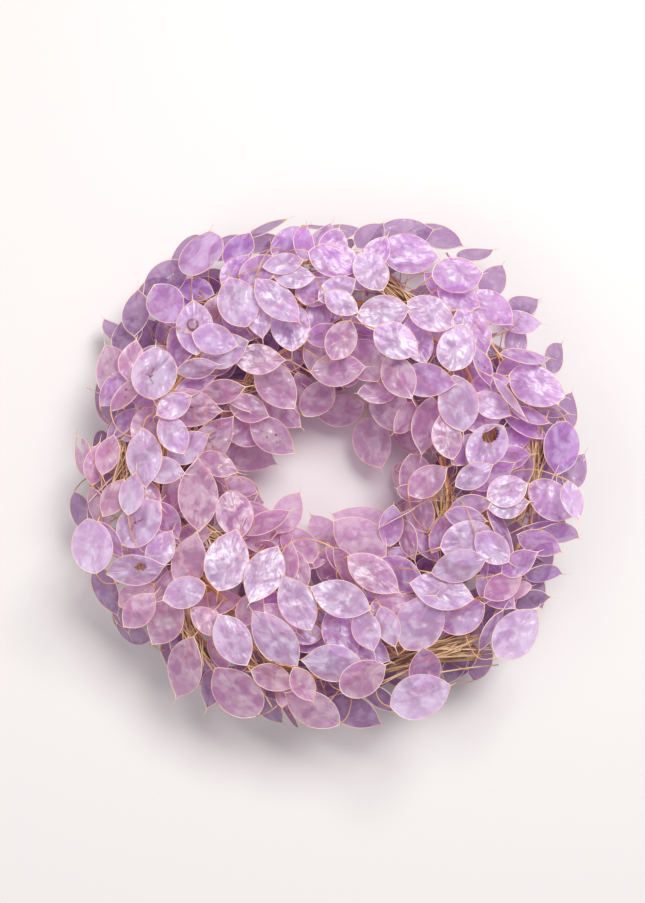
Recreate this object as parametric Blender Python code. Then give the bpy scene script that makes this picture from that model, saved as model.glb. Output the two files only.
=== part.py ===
"""Lunaria wreath: dried honesty sprays bound on a wire hoop, lying on its back.

The wreath lies on the plane z = 0 with its middle over the origin, +Y towards the top of the photo. Lengths in
the layout are millimetres. Each spray is one plant: a stalk bound along the hoop, a stem that leaves it, and flat
seed pods on thin pedicels. The pods that the photo shows are placed from the readings in PODS, and the sides and
the underside are filled by a seeded draw.
"""

import math
from dataclasses import dataclass, field

import bmesh
import bpy
import numpy as np
from mathutils import Vector

MM = 0.001
TOP_OF_PHOTO_EYE = (5.4, -94.6, 956.4)
READING_HEIGHT = 60.0

# The hoop and the thick ring of pods round it
HOOP_RADIUS = 103.0
HOOP_HEIGHT = 41.0
HOOP_WIRE = 3.0
REACH_OUT = 52.0
REACH_IN = 60.0
REACH_UP = 43.0
TOP_LIMIT = 89.5
STEEPEST = 0.97

# Sprays: six bound stalks lie round the hoop, like the strands of a rope
SPRAYS = 36
STRANDS = 6
STALK = 2.8
STEM = 2.2
STRAND_OFFSET = 3.4
STALK_STEPS = 4
STEM_REACH = (27.0, 22.0, 33.0, 31.0, 20.0, 26.0)
STEM_TIP = 1.4
CELL = 4.5
STRAIGHT_RUN = 0.9999

# The free stem after its last bound point: turn on from there and turn round the tube, both in degrees
FIRST_LEAN = 30.0
LIFT_TURN, LIFT_OFFSET = 2.5, 12.0
LOWER_TURN, LOWER_LEAN = 12.0, 6.0
UPPER_TURN, UPPER_LEAN = 28.0, -4.0
END_TURN, END_LEAN, END_RISE = 45.0, 8.0, 3.0

# Pedicels: each grows from one face of its stem, on a low flare
PEDICEL = 1.3
FLARE = 2.9
FLARE_HEIGHT = 1.6
NEAR_SEAT = 4.5
SHORTEST_PEDICEL = 6.0
LONGEST_PEDICEL = 46.0
STRAIGHT_ENOUGH = 0.45
LEAST_STRAIGHT = -0.3
LEAST_FACING = 0.42
LEAST_FORWARD = 0.3
ROUTES_TRIED = 60
CROWDING = 0.8
TURN_COST = 12.0
SLANT_COST = 4.0
BENDS = (0.0, 0.1, 0.18)
BEND_AT = 0.3
BEND_OUT = 0.25
BASE_ZONE = 2.0
OWN_POD_ROOM = 0.1

# Binding wire round the hoop and its six stalks
WIRE = 1.0
WIRE_TURNS = 12
WIRE_OFFSET = 6.0
WIRE_POINTS = 6
WIRE_START = -1.9

# Pods: thin lenses with an eight-point outline
POD_THICKNESS = 1.4
POD_POINTS = 8
SHORTEST_POD = 23.0
GAP = 0.4
STEM_GAP = 0.65
NEAR_POD = 3.0
NEAR_PATH = 4.0
SAMPLE_SPACING = 1.2
RIM_SAMPLES = 28
DISC_RINGS = ((0.8, 20), (0.55, 14), (0.28, 8))
LONGEST_HALF, WIDEST_HALF = 20.5, 14.0
WIDEST_RATIO, NARROWEST_RATIO, USUAL_RATIO = 0.92, 0.5, 0.64
STEEPEST_PITCH, STEEPEST_ROLL = 0.7, 1.25
ROUND_TAPER, TAPER_RANGE, ROUND_RATIO, RATIO_RANGE = 0.5, 0.32, 0.82, 0.25

# Feet: flat pods on the underside
FEET = 12
FOOT_TRIES = 40
FOOT_LONG, FOOT_WIDE = 31.0, 24.5
FOOT_OUT, FOOT_IN, FOOT_SPREAD, FOOT_TURN = 17.0, -15.0, 6.0, 0.3
WELD = 0.00002
HOOP_SEGMENTS = 36
HOOP_SIDES = 5
PLACES_TRIED = 40
FIRST_DRIFT = 4
DRIFT = 0.2
SMALLER = 0.92
SEED = 9

# Pods of the sides, the underside and deep under the top: ranges round the tube in degrees, and their shares
FILL_PODS = 95
TRIES_A_POD = 40
OUTER_SIDE, INNER_SIDE, UNDER_SIDE, TOP_SIDE = (-60.0, 25.0), (155.0, 235.0), (225.0, 305.0), (30.0, 150.0)
SIDE_SHARES = (0.36, 0.22, 0.3, 0.12)
TOP_DEPTHS, SIDE_DEPTHS = (12.0, 24.0), (0.5, 12.0)
INNER_SHORTER = 12.0
FILL_LOWEST = 3.0
FACE_SCATTER, AXIS_SCATTER = 0.28, 0.9
FILL_HALF, FILL_RATIO = (12.5, 17.0), (0.66, 0.86)
FILL_ROUND_RATIO, FILL_RATIO_RANGE, FILL_TAPER_RANGE, FILL_SHARPEST = 0.8, 0.14, 0.3, 0.8

# How deep under the wreath's surface each level of pods lies
LEVEL_DEPTH = {0: 34.0, 1: 22.0, 2: 12.0, 3: 3.0}
OVER_BOX_EDGE = 4
OVER_EDGE_HEIGHT = 85.0
OVER_EDGE_RISE = 0.2
IN_HOLE = -1
IN_HOLE_HEIGHT = 24.0
READ_LOWEST = 4.0
PLACING_ORDER = (OVER_BOX_EDGE, 3, IN_HOLE, 2, 1, 0)
LIFTS = (0.0, 1.5, 3.0, -1.5, 4.5, -3.0, 6.0, 7.5, -4.5, 9.0, -6.5, 11.0, -8.5)
SURFACE_LEAN, OVER_EDGE_LEAN, READ_SCATTER = 0.5, 0.15, 0.11

# Pods read from the photo: x, y, length and width as seen, turn of the tip from +X in degrees, level
PODS = (
    # upper left
    (-116, 92, 28, 17, 90, 2), (-121, 79, 20, 15, 60, 1), (-104, 107, 22, 14, 10, 1), (-98, 113, 30, 22, 30, 2),
    (-98, 98, 28, 22, 300, 2), (-88, 93, 20, 14, 40, 1), (-88, 78, 38, 21, 262, 2), (-80, 83, 31, 22, 95, 3),
    (-62, 69, 28, 20, 20, 2), (-68, 76, 26, 18, -15, 3), (-66, 92, 20, 16, 60, 1), (-54, 99, 30, 24, 110, 2),
    (-77, 129, 30, 25, 75, 3), (-86, 131, 24, 14, 35, 1), (-62, 133, 14, 9, 40, 1), (-54, 131, 16, 12, 60, 1),
    (-56, 119, 16, 10, 50, 2), (-80, 107, 22, 14, -20, 1), (-129, 56, 32, 22, 110, 1), (-132, 40, 34, 17, 280, 1),
    (-127, 46, 27, 16, 50, 2), (-120, 43, 28, 13, 50, 3), (-126, 63, 26, 12, 100, 1), (-118, 63, 20, 13, 80, 1),
    (-109, 71, 19, 10, 10, 1), (-104, 55, 30, 27, 90, 3), (-128, 80, 20, 9, 130, 0), (-78, 58, 18, 8, 10, 2),
    # top
    (-38, 145, 26, 9, 25, 2), (-42, 136, 26, 14, 15, 1), (-42, 119, 24, 19, 45, 3), (-22, 135, 25, 22, 50, 2),
    (-14, 136, 21, 11, 85, 3), (-8, 147, 22, 6, -10, 1), (7, 143, 15, 8, 15, 1), (-4, 139, 14, 7, 60, 2),
    (4, 134, 20, 15, 75, 2), (15, 127, 20, 14, -30, 2), (3, 125, 28, 19, -20, 3), (18, 113, 20, 11, -15, 2),
    (27, 119, 25, 20, -60, 3), (31, 131, 17, 11, 60, 2), (46, 142, 34, 22, 10, 1), (50, 130, 31, 25, -5, 3),
    (26, 141, 13, 9, 50, 1), (-27, 123, 15, 9, 10, 2), (-20, 115, 16, 10, 0, 3), (-6, 108, 25, 20, 20, 2),
    (6, 107, 18, 13, 30, 2), (-22, 85, 29, 23, -85, 2), (-30, 101, 34, 20, -45, 3), (-50, 88, 27, 22, -30, 2),
    (-41, 90, 23, 15, -80, 3), (-41, 64, 28, 18, 0, 3), (5, 93, 20, 14, 60, 1), (-5, 92, 18, 12, 80, 2),
    (1, 82, 18, 10, 10, 2), (9, 76, 23, 18, 65, 3), (-6, 64, 28, 17, -50, 2), (24, 64, 25, 21, -60, 2),
    (7, 58, 30, 19, 5, 3), (19, 87, 22, 9, -35, 1), (13, 97, 23, 16, -30, 2), (34, 93, 29, 21, 10, 3),
    (55, 76, 27, 19, -70, 2), (42, 76, 27, 21, -30, 3), (27, 77, 13, 9, 60, 1), (63, 93, 29, 21, -30, 3),
    (-22, 64, 17, 9, 20, 1), (44, 54, 27, 19, -60, 2), (61, 52, 31, 20, -10, 3), (-30, 48, 31, 22, -50, 3),
    # upper right
    (68, 141, 28, 17, -25, 2), (80, 103, 25, 18, -20, 2), (69, 110, 20, 12, -40, 2), (79, 117, 28, 23, 5, 3),
    (101, 113, 25, 16, 60, 1), (119, 98, 18, 11, 30, 0), (101, 97, 28, 19, -45, 2), (117, 88, 26, 15, 0, 2),
    (115, 76, 18, 11, 80, 1), (120, 67, 29, 11, 0, 3), (138, 66, 21, 11, 60, 1), (127, 49, 32, 25, -20, 3),
    (110, 58, 17, 9, 60, 2), (88, 82, 29, 22, -60, 2), (79, 72, 27, 22, 75, 3), (95, 61, 19, 9, -70, 2),
    (87, 60, 15, 10, 20, 1), (100, 70, 27, 8, -70, 1), (67, 78, 19, 10, 80, 1), (90, 130, 18, 8, 20, 1),
    # right
    (61, 25, 32, 17, -100, 2), (80, 38, 31, 23, -80, 3), (73, 17, 26, 17, 105, 3), (84, 10, 23, 14, 50, 2),
    (97, 12, 27, 22, 50, 3), (95, 28, 19, 12, 20, 2), (100, 37, 19, 13, -30, 3), (99, 49, 19, 11, 10, 2),
    (108, 42, 27, 8, -50, 2), (120, 25, 29, 13, -30, 1), (134, 35, 23, 11, -10, 1), (123, 31, 23, 10, -20, 2),
    (146, 33, 25, 13, 75, 1), (142, 12, 29, 22, -100, 3), (137, -5, 19, 12, -20, 1), (150, -3, 17, 11, 60, 2),
    (150, -18, 22, 13, -80, 4), (133, -33, 21, 9, -10, 1), (135, -20, 29, 22, -35, 3), (118, -3, 27, 11, 75, 2),
    (111, 5, 17, 10, 10, 2), (114, 17, 19, 12, 30, 1), (122, 14, 14, 10, -40, 1), (100, -6, 27, 14, 30, 2),
    (89, -6, 21, 13, 30, 3), (97, -22, 17, 10, 70, 2), (87, -24, 15, 8, 10, 2), (107, -25, 15, 10, 10, 2),
    (109, -15, 19, 15, 20, 3), (71, -12, 27, 19, 35, 2), (54, -7, 27, 18, -80, 2), (57, -28, 23, 16, -70, 1),
    (70, -40, 25, 12, 65, 2), (84, -31, 23, 12, -10, 2), (86, -46, 31, 25, 10, 3), (100, -49, 19, 14, -40, 3),
    (101, -40, 31, 8, -70, 2), (105, -38, 34, 10, -65, 3), (130, -37, 32, 10, -5, 2), (141, -40, 21, 9, -10, 3),
    (128, -46, 26, 14, -20, 3), (60, -48, 21, 10, -50, 1), (51, -44, 23, 10, -75, 1), (50, 15, 21, 9, -35, -1),
    # lower right
    (80, -60, 31, 18, 15, 2), (94, -77, 29, 18, -40, 2), (103, -63, 25, 13, -15, 2), (106, -72, 18, 12, 30, 2),
    (83, -88, 27, 20, 30, 2), (70, -75, 36, 21, 167, 3), (57, -94, 32, 27, 60, 3), (99, -98, 25, 9, 60, 2),
    (114, -100, 33, 24, 50, 4), (116, -58, 23, 14, 30, 3), (130, -64, 21, 8, 0, 2), (126, -73, 19, 10, -70, 1),
    (122, -80, 19, 9, 10, 1), (60, -121, 21, 17, 100, 2), (57, -137, 34, 25, 20, 4), (76, -124, 22, 12, 70, 1),
    (93, -116, 17, 10, 70, 0), (44, -62, 30, 18, -30, 2), (29, -65, 34, 20, -35, 3), (14, -62, 28, 11, -55, 2),
    (8, -57, 22, 9, -60, 1), (32, -77, 18, 8, 5, 1), (41, -84, 28, 16, 10, 2), (38, -96, 17, 10, -70, 2),
    # bottom
    (25, -98, 23, 16, -70, 3), (28, -110, 20, 13, -30, 2), (24, -126, 27, 20, 30, 2), (10, -101, 29, 20, -60, 2),
    (10, -80, 34, 21, 160, 3), (6, -118, 33, 21, 175, 3), (18, -146, 32, 18, -25, 2), (33, -138, 23, 11, -40, 1),
    (-19, -141, 25, 14, 60, 1), (-6, -145, 34, 20, 150, 3), (-11, -127, 17, 11, -60, 2), (1, -134, 17, 9, 10, 1),
    (-6, -104, 19, 11, 30, 1), (-33, -84, 20, 11, 30, 1), (-44, -86, 19, 12, 60, 2), (-26, -92, 21, 12, -40, 2),
    (-16, -83, 33, 21, 118, 3), (-30, -121, 25, 15, -20, 2), (-29, -104, 38, 22, 130, 3), (-33, -144, 23, 12, -45, 1),
    (50, -117, 15, 10, -60, 1), (-51, -136, 33, 25, 130, 3), (-54, -105, 31, 21, 120, 3), (-36, -66, 34, 22, -115, 3),
    (-15, -62, 22, 11, -70, 2), (-21, -59, 21, 10, 85, 3), (-10, -56, 18, 10, 0, 1),
    # lower left
    (-64, -83, 27, 14, 10, 1), (-69, -94, 20, 12, -35, 2), (-62, -112, 19, 10, -70, 2), (-66, -133, 21, 12, 255, 2),
    (-82, -121, 37, 21, 252, 3), (-96, -103, 34, 24, 60, 3), (-110, -88, 25, 17, 45, 3), (-112, -79, 22, 16, 30, 2),
    (-121, -89, 21, 10, -70, 1), (-113, -101, 17, 9, -20, 0), (-130, -76, 30, 15, -65, 2), (-113, -64, 33, 17, 8, 3),
    (-96, -78, 28, 14, 70, 2), (-81, -59, 32, 20, 75, 2), (-83, -77, 24, 18, 200, 3), (-98, -52, 23, 16, 60, 3),
    (-58, -58, 34, 25, 75, 3), (-118, -53, 15, 9, 10, 1), (-139, -50, 30, 24, 100, 4), (-126, -44, 21, 10, -55, 2),
    # left
    (-146, 4, 25, 11, 110, 2), (-138, -1, 15, 8, 80, 2), (-131, 5, 16, 10, 75, 2), (-108, 22, 26, 18, 80, 2),
    (-109, 4, 33, 21, -85, 3), (-97, -4, 22, 15, -10, 3), (-92, 18, 25, 17, -60, 2), (-83, 10, 26, 18, 30, 3),
    (-68, 14, 33, 19, 50, 2), (-83, 34, 36, 21, -5, 3), (-79, 49, 20, 10, 20, 2), (-63, 44, 25, 13, 10, 3),
    (-108, 40, 21, 12, -20, 1), (-97, 37, 14, 10, 30, 2), (-65, 0, 21, 13, -20, 2), (-76, -19, 39, 22, 92, 3),
    (-54, -30, 27, 21, -75, 2), (-94, -34, 21, 13, -60, 2), (-105, -48, 23, 14, 30, 2), (-108, -18, 21, 13, -40, 2),
    (-118, -19, 17, 11, 80, 2), (-127, -21, 19, 12, 60, 3), (-134, -27, 26, 12, -65, 2), (-146, -30, 25, 13, -70, 1),
    (-111, -36, 31, 24, 45, 3), (-80, -43, 23, 12, 10, 1), (-92, -16, 25, 12, 80, 1), (-123, 24, 19, 10, 45, 1),
    # round the hole
    (-47, 34, 23, 16, -20, 2), (-54, 29, 21, 14, 60, 1), (-27, 34, 28, 17, -40, 2), (-49, 19, 19, 13, -20, 2),
    (-47, 5, 33, 16, -10, 1), (-32, 17, 29, 19, -35, 3), (-13, 43, 15, 10, -70, 2), (-5, 40, 22, 16, 50, 3),
    (9, 33, 25, 17, 15, -1), (38, 36, 27, 21, -75, 2), (28, 14, 28, 21, -70, -1), (24, -36, 40, 23, 160, 1),
    (21, -44, 34, 24, 145, 3), (-1, -40, 22, 15, 125, 1), (-22, -29, 27, 17, 65, 2), (-43, -28, 19, 9, -10, 1),
    (-36, -35, 30, 13, 25, 2), (-34, -46, 27, 15, 10, 1), (-15, -48, 25, 18, -55, 2),
)

# Bare stalks that show between the pods: first point, middle point and last point (x, y, z), width, sticks
BUNDLES = (
    ((33, -119, 57), (64, -111, 60), (97, -103, 58), 15.0, 11),
    ((26, 117, 60), (41, 106, 62), (53, 95, 60), 13.0, 8),
    ((-131, 16, 48), (-128, 0, 54), (-130, -22, 50), 14.0, 8),
    ((126, 20, 56), (123, -4, 60), (112, -38, 56), 9.0, 6),
    ((68, -14, 50), (66, -30, 52), (56, -50, 48), 9.0, 5),
    ((-13, 77, 58), (2, 77, 59), (20, 79, 56), 8.0, 5),
    ((-60, 40, 50), (-48, 47, 53), (-36, 55, 50), 8.0, 5),
    ((-80, 108, 56), (-66, 110, 60), (-50, 110, 58), 10.0, 6),
    ((-80, -30, 54), (-71, -40, 58), (-62, -50, 57), 9.0, 5),
    ((-82, -86, 56), (-75, -102, 60), (-62, -118, 56), 9.0, 6),
    ((-46, -114, 58), (-33, -126, 60), (-20, -138, 56), 9.0, 6),
)
STICK = 2.2
STICK_SPACING = 0.68
ROW_DROP = 0.58
WAIST = 0.12
UNEVEN_ENDS = 0.12
END_SWAY = 0.2
SEATING_STEPS = 3
SEATED_GAP = -0.05

# Plain colours, linear
STEEL_GREY = (0.34, 0.35, 0.34)
LACQUER_GREEN = (0.03, 0.13, 0.05)
STRAW_TAN = (0.42, 0.24, 0.11)
DYED_LILAC = (0.56, 0.36, 0.58)

# What a placed path belongs to, where it isn't a stem, which goes by its spray's number
CORE_OWNER = -1
STICK_OWNER = -2
PEDICEL_OWNER = -3


@dataclass
class Pod:
    """One seed pod: a centre, the stalk-to-tip, across and face directions, half sizes and outline taper."""

    centre: np.ndarray
    axes: np.ndarray
    half_long: float
    half_wide: float
    taper: float

    def base(self) -> np.ndarray:
        """Where the pedicel meets the pod."""
        return self.centre - self.axes[0] * self.half_long


@dataclass
class Spray:
    """One plant: its stem's sections, and the pods and pedicel paths that grow from it, each from its seat."""

    name: str
    points: list
    widths: list
    first_cell: int
    pods: list = field(default_factory=list)
    pedicels: list = field(default_factory=list)
    seats: list = field(default_factory=list)
    used_cells: set = field(default_factory=set)


def ring_point(angle: float, offset: float, round_tube: float) -> np.ndarray:
    """A point at an angle round the wreath (degrees), and an offset from the hoop at an angle round the tube."""
    turn = math.radians(angle)
    lean = math.radians(round_tube)
    radius = HOOP_RADIUS + offset * math.cos(lean)
    height = HOOP_HEIGHT + offset * math.sin(lean)
    return np.array((radius * math.cos(turn), radius * math.sin(turn), height))


def unit(vector: np.ndarray) -> np.ndarray:
    """The vector at length one."""
    return vector / np.linalg.norm(vector)


def surface(x: float, y: float) -> tuple:
    """Height of the wreath's upper surface over a point, and the surface's outward normal there."""
    radius = math.hypot(x, y)
    side = radius - HOOP_RADIUS
    reach = REACH_OUT if side > 0 else REACH_IN
    share = max(-STEEPEST, min(STEEPEST, side / reach))
    rise = math.sqrt(1.0 - share * share)
    outward = np.array((x / radius, y / radius, 0.0))
    normal = unit(outward * share / reach + np.array((0.0, 0.0, rise / REACH_UP)))
    return HOOP_HEIGHT + REACH_UP * rise, normal


def along_sight(x: float, y: float, height: float) -> np.ndarray:
    """The point at a height that the photo's eye sees at (x, y) of the reading plane."""
    eye = np.array(TOP_OF_PHOTO_EYE)
    seen = np.array((x, y, READING_HEIGHT))
    return eye + (seen - eye) * (height - eye[2]) / (READING_HEIGHT - eye[2])


def samples_along(path: list) -> np.ndarray:
    """Points every millimetre or so along a path of straight stretches."""
    points = []
    for start, end in zip(path[:-1], path[1:]):
        count = max(2, int(np.linalg.norm(end - start) / SAMPLE_SPACING) + 1)
        points.append(start + (end - start) * np.linspace(0.0, 1.0, count)[:, None])
    return np.concatenate(points)


def unit_disc() -> tuple:
    """Sample directions on a pod: its rim, and rings inside the rim, as (cosine, side, share of radius)."""
    angles = np.linspace(0.0, 2 * math.pi, RIM_SAMPLES, endpoint=False)
    rim = np.stack((np.cos(angles), np.sin(angles), np.ones_like(angles)), axis=1)
    rings = [rim]
    for share, count in DISC_RINGS:
        angles = np.linspace(0.0, 2 * math.pi, count, endpoint=False)
        rings.append(np.stack((np.cos(angles), np.sin(angles), np.full_like(angles, share)), axis=1))
    rings.append(np.array(((1.0, 0.0, 0.0),)))
    return rim, np.concatenate(rings)


RIM, DISC = unit_disc()


def disc_points(pod: Pod, pattern: np.ndarray) -> np.ndarray:
    """The pattern's sample points on a pod, in the wreath's frame."""
    cosine, sine, share = pattern.T
    along = pod.half_long * cosine * share
    across = pod.half_wide * np.sign(sine) * np.abs(sine) ** (2 * pod.taper) * share
    return pod.centre + along[:, None] * pod.axes[0] + across[:, None] * pod.axes[1]


def lens_share(local: np.ndarray, half: np.ndarray, taper: np.ndarray, margin: float) -> np.ndarray:
    """How far out each local point lies on its pod, 0 at the centre and 1 at the rim widened by the margin."""
    along = np.abs(local[..., 0]) / (half[..., 0] + margin)
    across = np.abs(local[..., 1]) / (half[..., 1] + margin)
    narrowing = np.clip(1.0 - along * along, 1e-6, 1.0) ** taper
    return np.maximum(along, np.sqrt(along ** 2 + (across / narrowing) ** 2 * np.clip(1.0 - along ** 2, 0.0, 1.0)))


class Thicket:
    """All that is placed so far, as arrays, so that a new piece can be tested against it at once."""

    def __init__(self):
        self.pods = []
        self.centres = np.zeros((0, 3))
        self.axes = np.zeros((0, 3, 3))
        self.half = np.zeros((0, 2))
        self.taper = np.zeros(0)
        self.rims = np.zeros((0, len(RIM), 3))
        self.discs = np.zeros((0, len(DISC), 3))
        self.points = np.zeros((0, 3))
        self.radii = np.zeros(0)
        self.owners = np.zeros(0, dtype=int)

    def add_pod(self, pod: Pod) -> None:
        """Adds a pod."""
        self.pods.append(pod)
        self.centres = np.append(self.centres, pod.centre[None], axis=0)
        self.axes = np.append(self.axes, pod.axes[None], axis=0)
        self.half = np.append(self.half, ((pod.half_long, pod.half_wide),), axis=0)
        self.taper = np.append(self.taper, pod.taper)
        self.rims = np.append(self.rims, disc_points(pod, RIM)[None], axis=0)
        self.discs = np.append(self.discs, disc_points(pod, DISC)[None], axis=0)

    def add_path(self, path: list, width: float, owner: int) -> None:
        """Adds a stem, pedicel or stick."""
        points = samples_along(path)
        self.points = np.append(self.points, points, axis=0)
        self.radii = np.append(self.radii, np.full(len(points), width / 2))
        self.owners = np.append(self.owners, np.full(len(points), owner))

    def pod_clashes(self, pod: Pod) -> bool:
        """Whether a pod touches, crosses or comes too near anything placed."""
        return self.pod_meets_pods(pod) or self.pod_meets_paths(pod)

    def pod_meets_pods(self, pod: Pod) -> bool:
        """Whether a pod crosses a placed pod, or lies on it with too little room."""
        if not len(self.centres):
            return False
        reach = pod.half_long + self.half[:, 0] + GAP
        near = np.linalg.norm(self.centres - pod.centre, axis=1) < reach
        if not near.any():
            return False
        rim = disc_points(pod, RIM)
        disc = disc_points(pod, DISC)
        theirs = np.einsum("nij,npj->npi", self.axes[near], disc[None] - self.centres[near][:, None])
        half = self.half[near][:, None]
        taper = self.taper[near][:, None]
        if self.too_near(theirs, half, taper):
            return True
        crossing = np.einsum("nij,npj->npi", self.axes[near], rim[None] - self.centres[near][:, None])
        if self.crosses(crossing, half, taper):
            return True
        own_half = np.array((pod.half_long, pod.half_wide))
        own_taper = np.array(pod.taper)
        mine = (self.discs[near] - pod.centre) @ pod.axes.T
        if self.too_near(mine, own_half, own_taper):
            return True
        crossing = (self.rims[near] - pod.centre) @ pod.axes.T
        return self.crosses(crossing, own_half, own_taper)

    @staticmethod
    def too_near(local: np.ndarray, half: np.ndarray, taper: np.ndarray) -> bool:
        """Whether sample points of one pod lie inside or close over the lens of another."""
        share = lens_share(local, half, taper, GAP)
        own = POD_THICKNESS / 2 * (1.0 - DISC[:, 2])
        room = POD_THICKNESS / 2 * (1.0 - share) + own + GAP
        return bool(((share < 1.0) & (np.abs(local[..., 2]) < room)).any())

    @staticmethod
    def crosses(local: np.ndarray, half: np.ndarray, taper: np.ndarray) -> bool:
        """Whether a rim passes through the face of a pod between two of the rim's points."""
        following = np.roll(local, -1, axis=-2)
        change = local[..., 2] * following[..., 2] < 0.0
        span = np.where(change, local[..., 2] - following[..., 2], 1.0)
        meeting = local + (following - local) * (local[..., 2] / span)[..., None]
        return bool((change & (lens_share(meeting, half, taper, GAP) < 1.0)).any())

    def pod_meets_paths(self, pod: Pod) -> bool:
        """Whether a pod touches a placed stem, pedicel or stick."""
        near = np.linalg.norm(self.points - pod.centre, axis=1) < pod.half_long + NEAR_POD
        if not near.any():
            return False
        local = (self.points[near] - pod.centre) @ pod.axes.T
        half = np.array((pod.half_long, pod.half_wide))
        margin = self.radii[near] + GAP
        share = lens_share(local, half + margin[:, None], np.array(pod.taper), 0.0)
        room = POD_THICKNESS / 2 * np.clip(1.0 - share, 0.0, 1.0) + margin
        return bool(((share < 1.0) & (np.abs(local[:, 2]) < room)).any())

    def path_clashes(self, path: list, width: float, owner: int) -> bool:
        """Whether a pedicel's path touches a pod, a stem or a pedicel, away from its own seat."""
        points = samples_along(path)
        middle = points.mean(axis=0)
        spread = np.linalg.norm(points - middle, axis=1).max()
        margin = width / 2 + GAP
        near = np.linalg.norm(self.centres - middle, axis=1) < spread + self.half[:, 0] + margin
        if near.any():
            local = np.einsum("nij,npj->npi", self.axes[near], points[None] - self.centres[near][:, None])
            share = lens_share(local, self.half[near][:, None], self.taper[near][:, None], margin)
            room = POD_THICKNESS / 2 * np.clip(1.0 - share, 0.0, 1.0) + margin
            if ((share < 1.0) & (np.abs(local[..., 2]) < room)).any():
                return True
        root = points[-1]
        close = np.linalg.norm(self.points - middle, axis=1) < spread + NEAR_PATH
        close &= (self.owners != owner) | (np.linalg.norm(self.points - root, axis=1) > NEAR_SEAT)
        if not close.any():
            return False
        gaps = np.linalg.norm(points[:, None] - self.points[close][None], axis=2)
        return bool((gaps < width / 2 + self.radii[close] + STEM_GAP).any())


def spray_path(index: int) -> tuple:
    """A spray's whole stem: the bound stalk along the hoop, then the free stem that leaves it."""
    strand = index % STRANDS
    lean = 360.0 / STRANDS * strand + FIRST_LEAN
    step = 360.0 / SPRAYS
    leaves_at = index * step
    path = []
    for back in range(STALK_STEPS, -1, -1):
        path.append(ring_point(leaves_at - back * step, STRAND_OFFSET, lean))
    reach = STEM_REACH[strand]
    path.append(ring_point(leaves_at + LIFT_TURN, LIFT_OFFSET, lean))
    first_free = len(path) - 1
    path.append(ring_point(leaves_at + LOWER_TURN, 0.5 * (LIFT_OFFSET + reach), lean + LOWER_LEAN))
    path.append(ring_point(leaves_at + UPPER_TURN, reach, lean + UPPER_LEAN))
    path.append(ring_point(leaves_at + END_TURN, reach + END_RISE, lean + END_LEAN))
    return path, first_free


def make_spray_stem(index: int) -> Spray:
    """A spray with its stem only: the free part is cut into short cells, whose faces can bear pedicels."""
    path, first_free = spray_path(index)
    points = list(path[:first_free])
    for start, end in zip(path[first_free:-1], path[first_free + 1:]):
        cells = round(float(np.linalg.norm(end - start)) / CELL)
        points.extend(start + (end - start) * step / cells for step in range(cells))
    points.append(path[-1])
    free = len(points) - 1 - first_free
    widths = [STALK] * first_free
    widths.extend(STEM - (STEM - STEM_TIP) * step / free for step in range(free + 1))
    return Spray(f"pod_spray_{index + 1:02d}", points, widths, first_free)


def frames_along(points: list, side: np.ndarray) -> list:
    """Two directions across the run at each point of a path, turned as little as possible from the first."""
    frames = []
    last = len(points) - 1
    for index in range(last + 1):
        back = unit(points[index] - points[index - 1]) if index else 0.0
        ahead = unit(points[index + 1] - points[index]) if index < last else 0.0
        run = unit(back + ahead)
        side = unit(side - run * float(side @ run))
        frames.append((side, np.cross(run, side)))
    return frames


class Seats:
    """The stem faces that can bear a pedicel: whose they are, their middles and the way they face."""

    def __init__(self, sprays: list):
        owners = []
        cells = []
        middles = []
        facings = []
        for number, spray in enumerate(sprays):
            frames = frames_along(spray.points, np.array((0.0, 0.0, 1.0)))
            corners = []
            for point, width, (side, over) in zip(spray.points, spray.widths, frames):
                corners.append([point + facing * width / 2 * math.sqrt(0.5) for facing in (side, over, -side, -over)])
            for cell in range(spray.first_cell, len(spray.points) - 1):
                side, over = frames[cell]
                for here, there, facing in zip(corners[cell], corners[cell + 1], (side, over, -side, -over)):
                    owners.append(number)
                    cells.append(cell)
                    middles.append((here + there) / 2)
                    facings.append(facing)
        self.owners = np.array(owners)
        self.cells = np.array(cells)
        self.middles = np.array(middles)
        self.facings = np.array(facings)
        self.free = np.ones(len(owners), dtype=bool)


def tilted_pod(centre, turn, seen_long, seen_wide, normal) -> Pod:
    """A pod that looks so long and wide from above, with its face towards a normal.

    A pod that looks too narrow for its length is rolled about its long axis until its real outline is a pod's.
    """
    heading = np.array((math.cos(math.radians(turn)), math.sin(math.radians(turn)), 0.0))
    across = np.array((-heading[1], heading[0], 0.0))
    pitch = math.atan2(-float(normal @ heading), float(normal[2]))
    roll = math.atan2(-float(normal @ across), float(normal[2]))
    leanest = math.acos(min(1.0, seen_wide / seen_long / USUAL_RATIO))
    if abs(roll) < leanest:
        roll = math.copysign(leanest, roll)
    pitch = max(-STEEPEST_PITCH, min(STEEPEST_PITCH, pitch))
    roll = max(-STEEPEST_ROLL, min(STEEPEST_ROLL, roll))
    half_long = min(LONGEST_HALF, seen_long / 2 / math.cos(pitch))
    half_wide = min(WIDEST_HALF, seen_wide / 2 / math.cos(roll), WIDEST_RATIO * half_long)
    half_wide = max(half_wide, NARROWEST_RATIO * half_long)
    axis = unit(heading * math.cos(pitch) + np.array((0.0, 0.0, math.sin(pitch))))
    side = unit(across * math.cos(roll) + np.array((0.0, 0.0, math.sin(roll))))
    side = unit(side - axis * float(side @ axis))
    face = np.cross(axis, side)
    ratio = half_wide / half_long
    taper = ROUND_TAPER + TAPER_RANGE * max(0.0, min(1.0, (ROUND_RATIO - ratio) / RATIO_RANGE))
    return Pod(np.array(centre, dtype=float), np.stack((axis, side, face)), half_long, half_wide, taper)


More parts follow.
